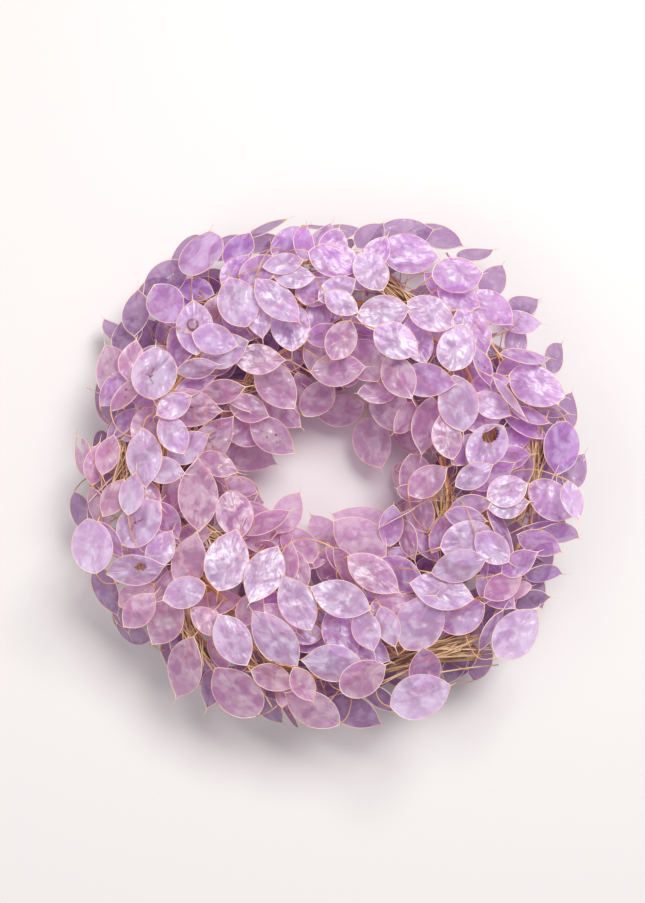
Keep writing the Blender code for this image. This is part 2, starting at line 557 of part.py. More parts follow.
def lowest(pod: Pod) -> float:
    """The lowest height that any point of a pod reaches."""
    rim = disc_points(pod, RIM)[:, 2].min()
    faces = pod.centre[2] - POD_THICKNESS / 2 * abs(float(pod.axes[2, 2]))
    return min(float(rim), float(faces))


def meets_own_pod(pod: Pod, path: list) -> bool:
    """Whether a pedicel runs back through the pod it bears."""
    points = samples_along(path)
    points = points[np.linalg.norm(points - path[0], axis=1) > BASE_ZONE]
    local = (points - pod.centre) @ pod.axes.T
    margin = PEDICEL / 2 + OWN_POD_ROOM
    share = lens_share(local, np.array((pod.half_long, pod.half_wide)), np.array(pod.taper), margin)
    room = POD_THICKNESS / 2 * np.clip(1.0 - share, 0.0, 1.0) + margin
    return bool(((share < 1.0) & (np.abs(local[:, 2]) < room)).any())


def route(thicket: Thicket, sprays: list, seats: Seats, pod: Pod, rng) -> tuple:
    """A clear path for the pod's pedicel to a free seat on a stem nearby, as (seat, path), or None."""
    base = pod.base()
    leaving = -pod.axes[0]
    gaps = np.linalg.norm(seats.middles - base, axis=1)
    towards = (seats.middles - base) / gaps[:, None]
    straight = towards @ leaving
    facing = -np.einsum("ij,ij->i", towards, seats.facings)
    usable = seats.free & (gaps > SHORTEST_PEDICEL) & (gaps < LONGEST_PEDICEL)
    usable &= (facing > LEAST_FACING) & (straight > LEAST_STRAIGHT)
    crowd = np.array([CROWDING * len(spray.pods) for spray in sprays])[seats.owners]
    score = gaps + crowd + TURN_COST * (1.0 - straight) + SLANT_COST * (1.0 - facing)
    choices = np.flatnonzero(usable)
    choices = choices[np.argsort(score[choices])][:ROUTES_TRIED]
    for seat in choices:
        middle = seats.middles[seat]
        for bend in BENDS:
            if bend == 0.0 and straight[seat] < STRAIGHT_ENOUGH:
                continue
            path = [base]
            if bend:
                sway = rng.normal(size=3) * gaps[seat] * bend
                path.append(base + BEND_AT * (middle - base) + BEND_OUT * gaps[seat] * leaving + sway)
                if float(unit(path[-1] - base) @ leaving) < LEAST_FORWARD:
                    continue
            out = unit(path[-1] - middle)
            path.append(middle + out * FLARE_HEIGHT)
            if float(out @ seats.facings[seat]) < LEAST_FACING:
                continue
            heights = [float(point[2]) for point in path]
            if min(heights) < PEDICEL / 2 or max(heights) > TOP_LIMIT or meets_own_pod(pod, path):
                continue
            owner = int(seats.owners[seat])
            if thicket.path_clashes(path, PEDICEL, owner):
                continue
            if not thicket.path_clashes([path[-1], middle], FLARE, owner):
                return int(seat), path
    return None


def place(thicket: Thicket, sprays: list, seats: Seats, pod: Pod, rng) -> bool:
    """Adds a pod with its pedicel if both are clear."""
    if lowest(pod) < 0.0 or disc_points(pod, RIM)[:, 2].max() > TOP_LIMIT or thicket.pod_clashes(pod):
        return False
    found = route(thicket, sprays, seats, pod, rng)
    if found is None:
        return False
    seat, path = found
    seats.free[seat] = False
    thicket.add_pod(pod)
    thicket.add_path(path, PEDICEL, PEDICEL_OWNER)
    thicket.add_path([path[-1], seats.middles[seat]], FLARE, PEDICEL_OWNER)
    spray = sprays[seats.owners[seat]]
    spray.pods.append(pod)
    spray.pedicels.append(path)
    spray.seats.append(seats.middles[seat])
    spray.used_cells.add(int(seats.cells[seat]))
    return True


def place_feet(thicket: Thicket, sprays: list, seats: Seats, rng) -> int:
    """Flat pods on the underside, which carry the wreath; returns how many found a place."""
    placed = 0
    for foot in range(FEET):
        for attempt in range(FOOT_TRIES):
            angle = 360.0 / FEET * (foot + rng.uniform(-FOOT_TURN, FOOT_TURN))
            radius = HOOP_RADIUS + (FOOT_OUT if foot % 2 else FOOT_IN) + rng.uniform(-FOOT_SPREAD, FOOT_SPREAD)
            x = radius * math.cos(math.radians(angle))
            y = radius * math.sin(math.radians(angle))
            upright = np.array((0.0, 0.0, 1.0))
            flat = tilted_pod((x, y, POD_THICKNESS / 2), rng.uniform(0, 360), FOOT_LONG, FOOT_WIDE, upright)
            if place(thicket, sprays, seats, flat, rng):
                placed += 1
                break
    return placed


def place_read_pods(thicket: Thicket, sprays: list, seats: Seats, rng) -> list:
    """The pods read from the photo, the most visible first; returns the rows that found no place."""
    missing = []
    for row in sorted(PODS, key=lambda entry: PLACING_ORDER.index(entry[5])):
        x, y, seen_long, seen_wide, turn, level = row
        done = False
        for attempt in range(PLACES_TRIED):
            shrink = 1.0 if attempt < PLACES_TRIED // 2 else SMALLER
            drift = np.append(rng.normal(size=2), 0.0) * DRIFT * max(0, attempt - FIRST_DRIFT)
            for lift in LIFTS:
                height, normal = surface(x, y)
                if level == OVER_BOX_EDGE:
                    height = OVER_EDGE_HEIGHT + OVER_EDGE_RISE * lift
                elif level == IN_HOLE:
                    height = IN_HOLE_HEIGHT + lift
                else:
                    height = max(READ_LOWEST, height - LEVEL_DEPTH[level] + lift)
                centre = along_sight(x, y, height) + drift
                scale = shrink * (TOP_OF_PHOTO_EYE[2] - height) / (TOP_OF_PHOTO_EYE[2] - READING_HEIGHT)
                scale *= max(1.0, SHORTEST_POD / seen_long)
                lean = OVER_EDGE_LEAN if level == OVER_BOX_EDGE else SURFACE_LEAN
                face = unit(normal * lean + np.array((0.0, 0.0, 1.0 - lean)) + rng.normal(size=3) * READ_SCATTER)
                pod = tilted_pod(centre, turn, seen_long * scale, seen_wide * scale, face)
                done = place(thicket, sprays, seats, pod, rng)
                if done:
                    break
            if done:
                break
        if not done:
            missing.append(row)
    return missing


def place_fill_pods(thicket: Thicket, sprays: list, seats: Seats, rng) -> int:
    """Pods on the sides, the underside and deep under the top, by a seeded draw; returns how many were placed."""
    placed = 0
    for _ in range(FILL_PODS * TRIES_A_POD):
        if placed == FILL_PODS:
            break
        angle = rng.uniform(0.0, 360.0)
        draws = [rng.uniform(*side) for side in (OUTER_SIDE, INNER_SIDE, UNDER_SIDE, TOP_SIDE)]
        round_tube = rng.choice(draws, p=SIDE_SHARES)
        on_top = TOP_SIDE[0] <= round_tube <= TOP_SIDE[1]
        depth = rng.uniform(*(TOP_DEPTHS if on_top else SIDE_DEPTHS))
        lean = math.radians(round_tube)
        reach = REACH_OUT if math.cos(lean) > 0 else REACH_IN - INNER_SHORTER
        radius = HOOP_RADIUS + (reach - depth) * math.cos(lean)
        height = HOOP_HEIGHT + (REACH_UP - depth) * math.sin(lean)
        turn = math.radians(angle)
        centre = np.array((radius * math.cos(turn), radius * math.sin(turn), max(FILL_LOWEST, height)))
        out = np.array((math.cos(lean) * math.cos(turn), math.cos(lean) * math.sin(turn), math.sin(lean)))
        face = unit(out + rng.normal(size=3) * FACE_SCATTER)
        tangent = np.array((-math.sin(turn), math.cos(turn), 0.0))
        axis = unit(tangent + rng.normal(size=3) * AXIS_SCATTER)
        axis = unit(axis - face * float(axis @ face))
        half_long = rng.uniform(*FILL_HALF)
        half_wide = half_long * rng.uniform(*FILL_RATIO)
        narrow = max(0.0, FILL_ROUND_RATIO - half_wide / half_long) / FILL_RATIO_RANGE
        taper = min(FILL_SHARPEST, ROUND_TAPER + FILL_TAPER_RANGE * narrow)
        pod = Pod(centre, np.stack((axis, np.cross(face, axis), face)), half_long, half_wide, taper)
        if place(thicket, sprays, seats, pod, rng):
            placed += 1
    return placed


def bundle_sticks(bundle: tuple, seed: int) -> list:
    """The sticks of one bundle of bare stalks, as paths: they press together and their ends are uneven."""
    first, middle, last, width, count = bundle
    rng = np.random.default_rng(seed)
    start, mid, end = (np.array(point, dtype=float) for point in (first, middle, last))
    side = unit(np.cross(end - start, (0.0, 0.0, 1.0)))
    sticks = []
    spacing = STICK * STICK_SPACING
    per_row = max(2, round(width / spacing))
    for number in range(count):
        row, column = divmod(number, per_row)
        offset = (column - (per_row - 1) / 2 + 0.5 * (row % 2)) * spacing
        shift = side * offset + np.array((0.0, 0.0, -row * STICK * ROW_DROP))
        squeeze = side * offset * -WAIST
        trim = rng.uniform(0.0, UNEVEN_ENDS, size=2)
        head = start + (mid - start) * trim[0]
        tail = end + (mid - end) * trim[1]
        sticks.append([head + shift, mid + shift + squeeze, tail + shift + side * rng.uniform(-END_SWAY, END_SWAY)])
    return sticks


def seated(sticks: list, thicket: Thicket) -> list:
    """The sticks of a bundle, moved until the nearest one lies against the nearest stem."""
    for _ in range(SEATING_STEPS):
        own = np.concatenate([samples_along(stick) for stick in sticks])
        gaps = np.linalg.norm(own[:, None] - thicket.points[None], axis=2) - thicket.radii - STICK / 2
        here, there = np.unravel_index(np.argmin(gaps), gaps.shape)
        shift = unit(thicket.points[there] - own[here]) * (gaps[here, there] - SEATED_GAP)
        sticks = [[point + shift for point in stick] for stick in sticks]
    return sticks


def lay_out() -> tuple:
    """Places every stem, stick, pod and pedicel; returns the sprays and the bundles' sticks."""
    rng = np.random.default_rng(SEED)
    thicket = Thicket()
    sprays = [make_spray_stem(index) for index in range(SPRAYS)]
    seats = Seats(sprays)
    core = [ring_point(angle, 0.0, 0.0) for angle in range(0, 361, 10)]
    thicket.add_path(core, 2 * (WIRE_OFFSET + WIRE), CORE_OWNER)
    for number, spray in enumerate(sprays):
        for index in range(spray.first_cell - 1, len(spray.points) - 1):
            thicket.add_path(spray.points[index:index + 2], spray.widths[index], number)
    bundles = [seated(bundle_sticks(bundle, SEED + number), thicket) for number, bundle in enumerate(BUNDLES)]
    for sticks in bundles:
        for stick in sticks:
            thicket.add_path(stick, STICK, STICK_OWNER)
    feet = place_feet(thicket, sprays, seats, rng)
    missing = place_read_pods(thicket, sprays, seats, rng)
    filled = place_fill_pods(thicket, sprays, seats, rng)
    print(f"feet {feet}, read {len(PODS) - len(missing)} of {len(PODS)}, filled {filled}")
    return sprays, bundles, missing


def material(name: str, colour: tuple, roughness: float, metallic: float = 0.0):
    """A plain Principled material."""
    made = bpy.data.materials.new(name)
    made.use_nodes = True
    shader = made.node_tree.nodes["Principled BSDF"]
    shader.inputs["Base Color"].default_value = (*colour, 1.0)
    shader.inputs["Roughness"].default_value = roughness
    shader.inputs["Metallic"].default_value = metallic
    return made


def tube_object(name: str, paths: list, widths: list, sides_step: int):
    """Round tubes along paths (millimetres), one spline each, as a mesh object with welded caps."""
    curve = bpy.data.curves.new(name, "CURVE")
    curve.dimensions = "3D"
    curve.bevel_depth = 0.5 * MM
    curve.bevel_resolution = sides_step
    curve.use_fill_caps = True
    for path, width in zip(paths, widths):
        spline = curve.splines.new("POLY")
        spline.points.add(len(path) - 1)
        sizes = width if isinstance(width, (list, tuple)) else [width] * len(path)
        for point, place_at, size in zip(spline.points, path, sizes):
            point.co = (*(float(value) * MM for value in place_at), 1.0)
            point.radius = size
    drawn = bpy.data.objects.new(name, curve)
    bpy.context.scene.collection.objects.link(drawn)
    solid = as_mesh(drawn, name)
    bpy.data.objects.remove(drawn)
    return solid


def as_mesh(source, name: str):
    """A mesh object with the source's evaluated shape, its loose caps welded."""
    bpy.context.view_layer.update()
    evaluated = source.evaluated_get(bpy.context.evaluated_depsgraph_get())
    mesh = bpy.data.meshes.new_from_object(evaluated)
    shape = bmesh.new()
    shape.from_mesh(mesh)
    bmesh.ops.remove_doubles(shape, verts=shape.verts, dist=WELD)
    bmesh.ops.triangulate(shape, faces=shape.faces)
    shape.to_mesh(mesh)
    shape.free()
    made = bpy.data.objects.new(name, mesh)
    made.matrix_world = source.matrix_world
    bpy.context.scene.collection.objects.link(made)
    return made


def set_section(face, around: list, centre: np.ndarray, frame: tuple, width: float) -> None:
    """Moves the corners of a four-sided section to their places round a path's point."""
    side, over = frame
    for vertex, (across, through) in zip(face.verts, around):
        spot = centre + unit(side * across + over * through) * width / 2
        vertex.co = Vector([float(value) * MM for value in spot])


def stem_shape(spray: Spray):
    """A spray's stem: a cube as its first cell, then its end face drawn out from section to section."""
    shape = bmesh.new()
    bmesh.ops.create_cube(shape, size=2.0)
    foot = min(shape.faces, key=lambda face: face.calc_center_median().z)
    tip = max(shape.faces, key=lambda face: face.calc_center_median().z)
    frames = frames_along(spray.points, np.array((0.0, 0.0, 1.0)))
    around = [(vertex.co.x, vertex.co.y) for vertex in foot.verts]
    set_section(foot, around, spray.points[0], frames[0], spray.widths[0])
    around = [(vertex.co.x, vertex.co.y) for vertex in tip.verts]
    set_section(tip, around, spray.points[1], frames[1], spray.widths[1])
    for index in range(2, len(spray.points)):
        if has_section(spray, index):
            tip = bmesh.ops.extrude_discrete_faces(shape, faces=[tip])["faces"][0]
            set_section(tip, around, spray.points[index], frames[index], spray.widths[index])
    return shape


def has_section(spray: Spray, index: int) -> bool:
    """Whether a stem needs its section at a point: at a bend, at its ends, and beside a cell that bears a pedicel."""
    if index == len(spray.points) - 1 or {index - 1, index} & spray.used_cells:
        return True
    back = unit(spray.points[index] - spray.points[index - 1])
    ahead = unit(spray.points[index + 1] - spray.points[index])
    return float(back @ ahead) < STRAIGHT_RUN


def pod_mesh(pod: Pod, pedicel: list):
    """A pod on its pedicel: a two-ring sphere flattened to a lens, its end drawn out along the pedicel's path.

    The last face, which meets the stem, has material index 1.
    """
    shape = bmesh.new()
    bmesh.ops.create_uvsphere(shape, u_segments=POD_POINTS, v_segments=2, radius=1.0)
    end = min(shape.verts, key=lambda vertex: vertex.co.x)
    bmesh.ops.bevel(shape, geom=[end], offset=0.1, affect="VERTICES", segments=1)
    tip = min(shape.faces, key=lambda face: face.calc_center_median().x)
    around = [(vertex.co.y, vertex.co.z) for vertex in tip.verts]
    for vertex in shape.verts:
        if vertex not in tip.verts:
            vertex.co = Vector(lens_spot(pod, vertex.co))
    set_section(tip, around, pedicel[0], (pod.axes[1], pod.axes[2]), PEDICEL)
    frames = frames_along([pedicel[0] + pod.axes[0], *pedicel], pod.axes[1])
    for point, (side, over) in zip(pedicel[1:], frames[2:]):
        tip = bmesh.ops.extrude_discrete_faces(shape, faces=[tip])["faces"][0]
        set_section(tip, around, point, (side, -over), PEDICEL)
    tip.material_index = 1
    mesh = bpy.data.meshes.new("pod")
    shape.to_mesh(mesh)
    shape.free()
    return mesh


def lens_spot(pod: Pod, ball) -> list:
    """Where a point of the unit ball goes on the pod's lens, in metres."""
    if abs(ball.z) > 0.5:
        spot = pod.centre + math.copysign(POD_THICKNESS / 2, ball.z) * pod.axes[2]
    else:
        along = ball.x * pod.half_long
        across = math.copysign(abs(ball.y) ** (2 * pod.taper), ball.y) * pod.half_wide
        spot = pod.centre + along * pod.axes[0] + across * pod.axes[1]
    return [float(value) * MM for value in spot]


def graft(shape, seat: np.ndarray, mesh) -> None:
    """Grows a pod's pedicel out of the stem face over a seat: both faces are opened and bridged."""
    spot = Vector([float(value) * MM for value in seat])
    bearer = min(shape.faces, key=lambda face: (face.calc_center_median() - spot).length)
    shape.from_mesh(mesh)
    root = next(face for face in shape.faces if face.material_index == 1)
    edges = list(bearer.edges) + list(root.edges)
    bmesh.ops.delete(shape, geom=[bearer, root], context="FACES_ONLY")
    bmesh.ops.bridge_loops(shape, edges=edges)


def united(name: str, base, others: list):
    """The union of a mesh object with others, one after another."""
    for other in others:
        union = base.modifiers.new("union", "BOOLEAN")
        union.operation = "UNION"
        union.solver = "EXACT"
        union.object = other
    made = as_mesh(base, name)
    for used in (base, *others):
        bpy.data.objects.remove(used)
    return made


def finish(thing, name: str, look, home) -> None:
    """Names an object, gives it its material and smooth shading, and puts it in the wreath's collection."""
    thing.name = name
    thing.data.name = name
    thing.data.materials.clear()
    thing.data.materials.append(look)
    for face in thing.data.polygons:
        face.use_smooth = True
    for old in list(thing.users_collection):
        old.objects.unlink(thing)
    home.objects.link(thing)


def make_hoop(look, home) -> None:
    """The wire hoop that the stalks are bound to."""
    bpy.ops.mesh.primitive_torus_add(
        major_segments=HOOP_SEGMENTS,
        minor_segments=HOOP_SIDES,
        major_radius=HOOP_RADIUS * MM,
        minor_radius=HOOP_WIRE / 2 * MM,
        location=(0.0, 0.0, HOOP_HEIGHT * MM),
    )
    finish(bpy.context.active_object, "wire_hoop", look, home)


def make_binding_wire(look, home) -> None:
    """One wire wound round the hoop and the six stalks on it."""
    steps = WIRE_TURNS * WIRE_POINTS
    path = []
    for step in range(steps - 1):
        turns = step / WIRE_POINTS
        path.append(ring_point(WIRE_START + turns * 360.0 / WIRE_TURNS, WIRE_OFFSET, FIRST_LEAN + turns * 360.0))
    wire = tube_object("binding_wire", [path], [WIRE], 0)
    finish(wire, "binding_wire", look, home)


def make_spray(spray: Spray, look, home) -> None:
    """One plant: stalk, stem, pedicels and pods grown together."""
    shape = stem_shape(spray)
    for pod, pedicel, seat in zip(spray.pods, spray.pedicels, spray.seats):
        mesh = pod_mesh(pod, pedicel)
        graft(shape, seat, mesh)
        bpy.data.meshes.remove(mesh)
    bmesh.ops.triangulate(shape, faces=shape.faces)
    bmesh.ops.recalc_face_normals(shape, faces=shape.faces)
    mesh = bpy.data.meshes.new(spray.name)
    shape.to_mesh(mesh)
    shape.free()
    plant = bpy.data.objects.new(spray.name, mesh)
    bpy.context.scene.collection.objects.link(plant)
    finish(plant, spray.name, look, home)


def make_bundle(number: int, sticks: list, look, home) -> None:
    """One bundle of bare stalks, pressed together by the binding."""
    stalks = [tube_object("stalk", [stick], [STICK], 0) for stick in sticks]
    name = f"stalk_bundle_{number + 1:02d}"
    finish(united(name, stalks[0], stalks[1:]), name, look, home)


def main() -> None:
    """Clears the file and builds the wreath."""
    for old in list(bpy.data.objects):
        bpy.data.objects.remove(old)
    home = bpy.data.collections.new("lunaria_wreath")
    bpy.context.scene.collection.children.link(home)
    sprays, bundles, _ = lay_out()
    make_hoop(material("galvanised_wire", STEEL_GREY, 0.42, 1.0), home)
    make_binding_wire(material("green_lacquered_wire", LACQUER_GREEN, 0.38, 0.2), home)
    tan = material("dry_stalk", STRAW_TAN, 0.72)
    for number, sticks in enumerate(bundles):
        make_bundle(number, sticks, tan, home)
    lilac = material("dyed_pod_membrane", DYED_LILAC, 0.36)
    for spray in sprays:
        make_spray(spray, lilac, home)


main()
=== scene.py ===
"""Lunaria wreath: dried, lilac-dyed honesty bound on a wire hoop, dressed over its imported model.

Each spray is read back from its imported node: where every seed pod lies, how it is turned, and the run of its
pedicel. The same pods are then built again as what they are, a crinkled film in a fine raised rim with a hair at
its tip, on round pedicels and a round stem. Lengths inside the classes are millimetres; meshes are in metres.
"""

import logging
import math
from dataclasses import dataclass, field, replace
from enum import Enum

import bmesh
import bpy
import numpy as np
from bpy.types import Material, Node, NodeSocket, NodeTree
from mathutils import Matrix, Vector
from numpy.linalg import norm


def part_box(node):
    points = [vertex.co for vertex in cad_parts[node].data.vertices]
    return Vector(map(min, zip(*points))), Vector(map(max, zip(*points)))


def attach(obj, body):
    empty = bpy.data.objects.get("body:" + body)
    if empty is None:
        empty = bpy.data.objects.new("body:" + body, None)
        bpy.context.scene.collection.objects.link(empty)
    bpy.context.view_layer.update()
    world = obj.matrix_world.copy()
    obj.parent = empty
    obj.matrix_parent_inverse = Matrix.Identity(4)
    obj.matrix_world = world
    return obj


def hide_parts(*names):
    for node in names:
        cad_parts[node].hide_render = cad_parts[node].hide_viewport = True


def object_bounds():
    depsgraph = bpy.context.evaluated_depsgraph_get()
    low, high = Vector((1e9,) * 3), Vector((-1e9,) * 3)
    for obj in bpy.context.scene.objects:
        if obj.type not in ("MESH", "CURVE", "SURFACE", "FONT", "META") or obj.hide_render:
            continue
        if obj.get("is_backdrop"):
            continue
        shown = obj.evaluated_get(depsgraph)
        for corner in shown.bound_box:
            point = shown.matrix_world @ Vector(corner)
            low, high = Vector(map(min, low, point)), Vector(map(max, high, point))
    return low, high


logging.basicConfig(level=logging.INFO, format="%(message)s")
LOG = logging.getLogger("wreath")

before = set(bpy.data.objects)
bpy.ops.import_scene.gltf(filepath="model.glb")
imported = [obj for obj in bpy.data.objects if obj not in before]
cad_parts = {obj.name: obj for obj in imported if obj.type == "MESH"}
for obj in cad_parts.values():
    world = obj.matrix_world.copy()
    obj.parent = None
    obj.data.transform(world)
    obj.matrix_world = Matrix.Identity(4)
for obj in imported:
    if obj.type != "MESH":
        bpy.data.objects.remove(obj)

MM = 0.001
FULL_TURN = 2 * math.pi
UP = np.array((0.0, 0.0, 1.0))
# Where the photo's eye is, in metres, and the height in millimetres at which places were read off the photo
EYE = (0.0054, -0.0946, 0.9564)
READING_HEIGHT = 60.0
# Lowest and highest, or first and last, of a size; and a place or direction
Span = tuple[float, float]
Triple = tuple[float, float, float]


def linear(code: str) -> tuple[float, float, float, float]:
    """Turns an sRGB hex colour into linear RGBA.

    Args:
        code: six hex digits.

    Returns:
        The linear colour with alpha 1.
    """
    channels = [int(code[start:start + 2], 16) / 255 for start in (0, 2, 4)]
    steps = [value / 12.92 if value <= 0.04045 else ((value + 0.055) / 1.055) ** 2.4 for value in channels]
    return (*steps, 1.0)


def add(tree: NodeTree, kind: str, links: dict | None = None, **settings: object) -> Node:
    """Adds a shader node with its settings, values and links.

    Args:
        tree: the node tree.
        kind: the node's type, without its ShaderNode prefix.
        links: input name or number to a value, a hex colour, or the node or output socket that feeds it.
        settings: the node's own properties.

    Returns:
        The new node.
    """
    node = tree.nodes.new("ShaderNode" + kind)
    for name, value in settings.items():
        setattr(node, name, value)
    for key, value in (links or {}).items():
        if isinstance(value, Node):
            value = value.outputs["Result" if "Result" in value.outputs else 0]
        if isinstance(value, NodeSocket):
            tree.links.new(value, node.inputs[key])
        else:
            node.inputs[key].default_value = linear(value) if isinstance(value, str) else value
    return node


def show(name: str, data: bpy.types.ID) -> bpy.types.Object:
    """Puts an object into the scene.

    Args:
        name: its name.
        data: its mesh, lamp or lens.

    Returns:
        The object.
    """
    made = bpy.data.objects.new(name, data)
    bpy.context.scene.collection.objects.link(made)
    return made


def unit(vector: np.ndarray) -> np.ndarray:
    """The vector at length one."""
    return vector / norm(vector)


def smooth_path(points: np.ndarray, steps: int) -> np.ndarray:
    """A rounded path through points.

    Args:
        points: two or more points.
        steps: new points for each stretch.

    Returns:
        Points on a Catmull-Rom curve, the first and last point included.
    """
    padded = np.concatenate(([2 * points[0] - points[1]], points, [2 * points[-1] - points[-2]]))
    share = np.linspace(0.0, 1.0, steps, endpoint=False)[:, None]
    parts = []
    for one, two, three, four in zip(padded[:-3], padded[1:-2], padded[2:-1], padded[3:]):
        parts.append(0.5 * (2 * two + (three - one) * share + (2 * one - 5 * two + 4 * three - four) * share ** 2
                            + (3 * two - one - 3 * three + four) * share ** 3))
    return np.concatenate((*parts, points[-1:]))


def eased(path: np.ndarray, times: int) -> np.ndarray:
    """A path with its bends softened.

    Args:
        path: the points; both ends stay.
        times: how often each point moves towards its neighbours.

    Returns:
        The same path, changed in place.
    """
    for _ in range(times):
        path[1:-1] = (path[:-2] + 2 * path[1:-1] + path[2:]) / 4
    return path


@dataclass(frozen=True)
class Finish:
    """A surface named for the real material. Each kind adds its own nodes."""

    name: str

    def surface(self, tree: NodeTree) -> Node:
        """Adds the nodes to a tree and returns the shader."""
        raise NotImplementedError

    def material(self) -> Material:
        """Builds the material.

        Returns:
            The material.
        """
        made = bpy.data.materials.new(self.name)
        made.use_nodes = True
        made.node_tree.nodes.clear()
        add(made.node_tree, "OutputMaterial", {"Surface": self.surface(made.node_tree)})
        return made


@dataclass(frozen=True)
class MembraneFinish(Finish):
    """Lunaria septum, dyed: a dried cellulose film of about 0.1 mm.

    It dries taut and crinkled in its rim, so the eye gets broad silvery patches, partly painted into its colour as
    whitish sheen, and small glints, sees the light and the shapes behind it, and finds the dye deeper wherever
    two films overlap.
    """

    film: str
    thick_film_and_sheen: str
    glow: str
    clear: str
    clear_share: float = 0.38
    glow_share: float = 0.42
    roughness: float = 0.33
    patch_mm: float = 10.0
    swell_mm: float = 8.0
    crease_mm: float = 7.5
    wrinkle_mm: float = 2.4
    crumple_mm: float = 0.8
    scar_mm: float = 7.0
    scar: str = "B86E8C"
    stain: str = "7E4634"
    stain_glow: str = "8A5040"
    bloom: str = "F0E8FF"

    def surface(self, tree: NodeTree) -> Node:
        """Adds the film's nodes.

        Args:
            tree: the material's tree.

        Returns:
            The shader.
        """
        place = add(tree, "Attribute", attribute_name="sheet").outputs["Vector"]
        tone, edge, stain = (add(tree, "Attribute", attribute_name=mark).outputs["Fac"]
                             for mark in ("tone", "edge", "stain"))
        # Thick and thin parts of the film, about 10 mm across. The whitish patches that they mix into its colour
        # are partly thicker film and partly painted sheen
        patch = add(tree, "TexNoise", {
            "Vector": place, "Scale": 1 / self.patch_mm, "Detail": 2.5, "Roughness": 0.6, "Distortion": 0.4})
        cloud = add(tree, "MapRange", {"Value": patch, "From Min": 0.42, "From Max": 0.6})
        thick_film_and_sheen_share = add(tree, "Math", {0: cloud, 1: 0.6}, operation="MULTIPLY")
        # Seed scars: small rosy dots, a few to a pod
        dots = add(tree, "TexVoronoi", {"Vector": place, "Scale": 1 / self.scar_mm})
        scar = add(tree, "MapRange", {"Value": dots, "From Min": 0.1, "From Max": 0.05, "To Max": 0.65})
        # Base colour: random dye depth, whitish patches that are partly painted sheen, seed scars and stains
        colour = self.film
        for factor, other in ((tone, self.glow), (thick_film_and_sheen_share, self.thick_film_and_sheen), (scar, self.scar), (stain, self.stain)):
            colour = add(tree, "Mix", {"Factor": factor, "A": colour, "B": other}, data_type="RGBA")
        # Creases where the film dried taut: fold lines that run mostly from base to tip, over soft swells
        laid = add(tree, "Mapping", {"Vector": place, "Scale": (0.55, 1.0, 1.0)})
        swell = add(tree, "TexNoise", {"Vector": place, "Scale": 1 / self.swell_mm, "Detail": 1.0})
        height = add(tree, "Math", {0: swell, 1: 1.8}, operation="MULTIPLY")
        for width, share in ((self.crease_mm, 0.36), (self.wrinkle_mm, 0.13)):
            pattern = add(tree, "TexNoise", {
                "Vector": laid, "Scale": 1 / width, "Detail": 2.0, "Roughness": 0.5, "Distortion": 0.25})
            middle = add(tree, "Math", {0: pattern, 1: 0.5}, operation="SUBTRACT")
            fold = add(tree, "Math", {0: middle}, operation="ABSOLUTE")
            height = add(tree, "Math", {0: fold, 1: -4 * share, 2: height}, operation="MULTIPLY_ADD")
        bump = add(tree, "Bump", {"Height": height, "Strength": 1.0, "Distance": self.crumple_mm * MM})
        rough = add(tree, "MapRange", {
            "Value": patch, "From Min": 0.35, "From Max": 0.7,
            "To Min": self.roughness + 0.08, "To Max": self.roughness - 0.08})
        sheet = add(tree, "BsdfPrincipled", {
            "Base Color": colour, "Roughness": rough, "IOR": 1.53, "Specular IOR Level": 0.85,
            "Coat Weight": 0.3, "Coat Roughness": 0.25, "Coat IOR": 1.53, "Sheen Weight": 0.15,
            "Sheen Roughness": 0.4, "Sheen Tint": self.bloom, "Normal": bump, "Coat Normal": bump})
        glowing = add(tree, "Mix", {"Factor": stain, "A": self.glow, "B": self.stain_glow}, data_type="RGBA")
        through = add(tree, "BsdfTranslucent", {"Color": glowing, "Normal": bump})
        body = add(tree, "MixShader", {0: self.glow_share, 1: sheet, 2: through})
        window = add(tree, "BsdfTransparent", {"Color": self.clear})
        # The film is clearer where it is thin, and a little denser beside its rim
        thin = add(tree, "MapRange", {
            "Value": cloud, "To Min": self.clear_share + 0.08, "To Max": self.clear_share - 0.14})
        rimward = add(tree, "Math", {0: edge, 1: 6.0}, operation="POWER")
        sealed = add(tree, "Math", {0: rimward, 1: -0.1, 2: thin}, operation="MULTIPLY_ADD")
        return add(tree, "MixShader", {0: sealed, 1: body, 2: window})


@dataclass(frozen=True)
class StalkFinish(Finish):
    """Dried plant stalk: lignified and fluted, so it is matt, with fine ribs along it and bleached streaks."""

    main: str
    light: str
    dark: str
    roughness: float = 0.6
    streak_mm: float = 2.2
    rib_mm: float = 0.45

    def surface(self, tree: NodeTree) -> Node:
        """Adds the stalk's nodes.

        Args:
            tree: the material's tree.

        Returns:
            The shader.
        """
        along = add(tree, "Attribute", attribute_name="sheet").outputs["Vector"]
        tone = add(tree, "Attribute", attribute_name="tone").outputs["Fac"]
        # Streaks run with the stalk: the pattern is stretched eight times along it
        laid = add(tree, "Mapping", {"Vector": along, "Scale": (0.12, 1.0, 1.0)})
        streak = add(tree, "TexNoise", {
            "Vector": laid, "Scale": 1 / self.streak_mm, "Detail": 4.0, "Roughness": 0.65})
        rib = add(tree, "TexNoise", {"Vector": laid, "Scale": 1 / self.rib_mm, "Detail": 2.0})
        bleach = add(tree, "MapRange", {"Value": streak, "From Min": 0.45, "From Max": 0.68})
        weather = add(tree, "MapRange", {"Value": streak, "From Min": 0.47, "From Max": 0.3})
        colour = self.main
        for factor, other in ((bleach, self.light), (weather, self.dark), (tone, self.dark)):
            colour = add(tree, "Mix", {"Factor": factor, "A": colour, "B": other}, data_type="RGBA")
        bump = add(tree, "Bump", {"Height": rib, "Strength": 0.6, "Distance": 0.12 * MM})
        rough = add(tree, "MapRange", {
            "Value": rib, "To Min": self.roughness - 0.1, "To Max": self.roughness + 0.14})
        return add(tree, "BsdfPrincipled", {
            "Base Color": colour, "Roughness": rough, "IOR": 1.5, "Specular IOR Level": 0.35, "Normal": bump})


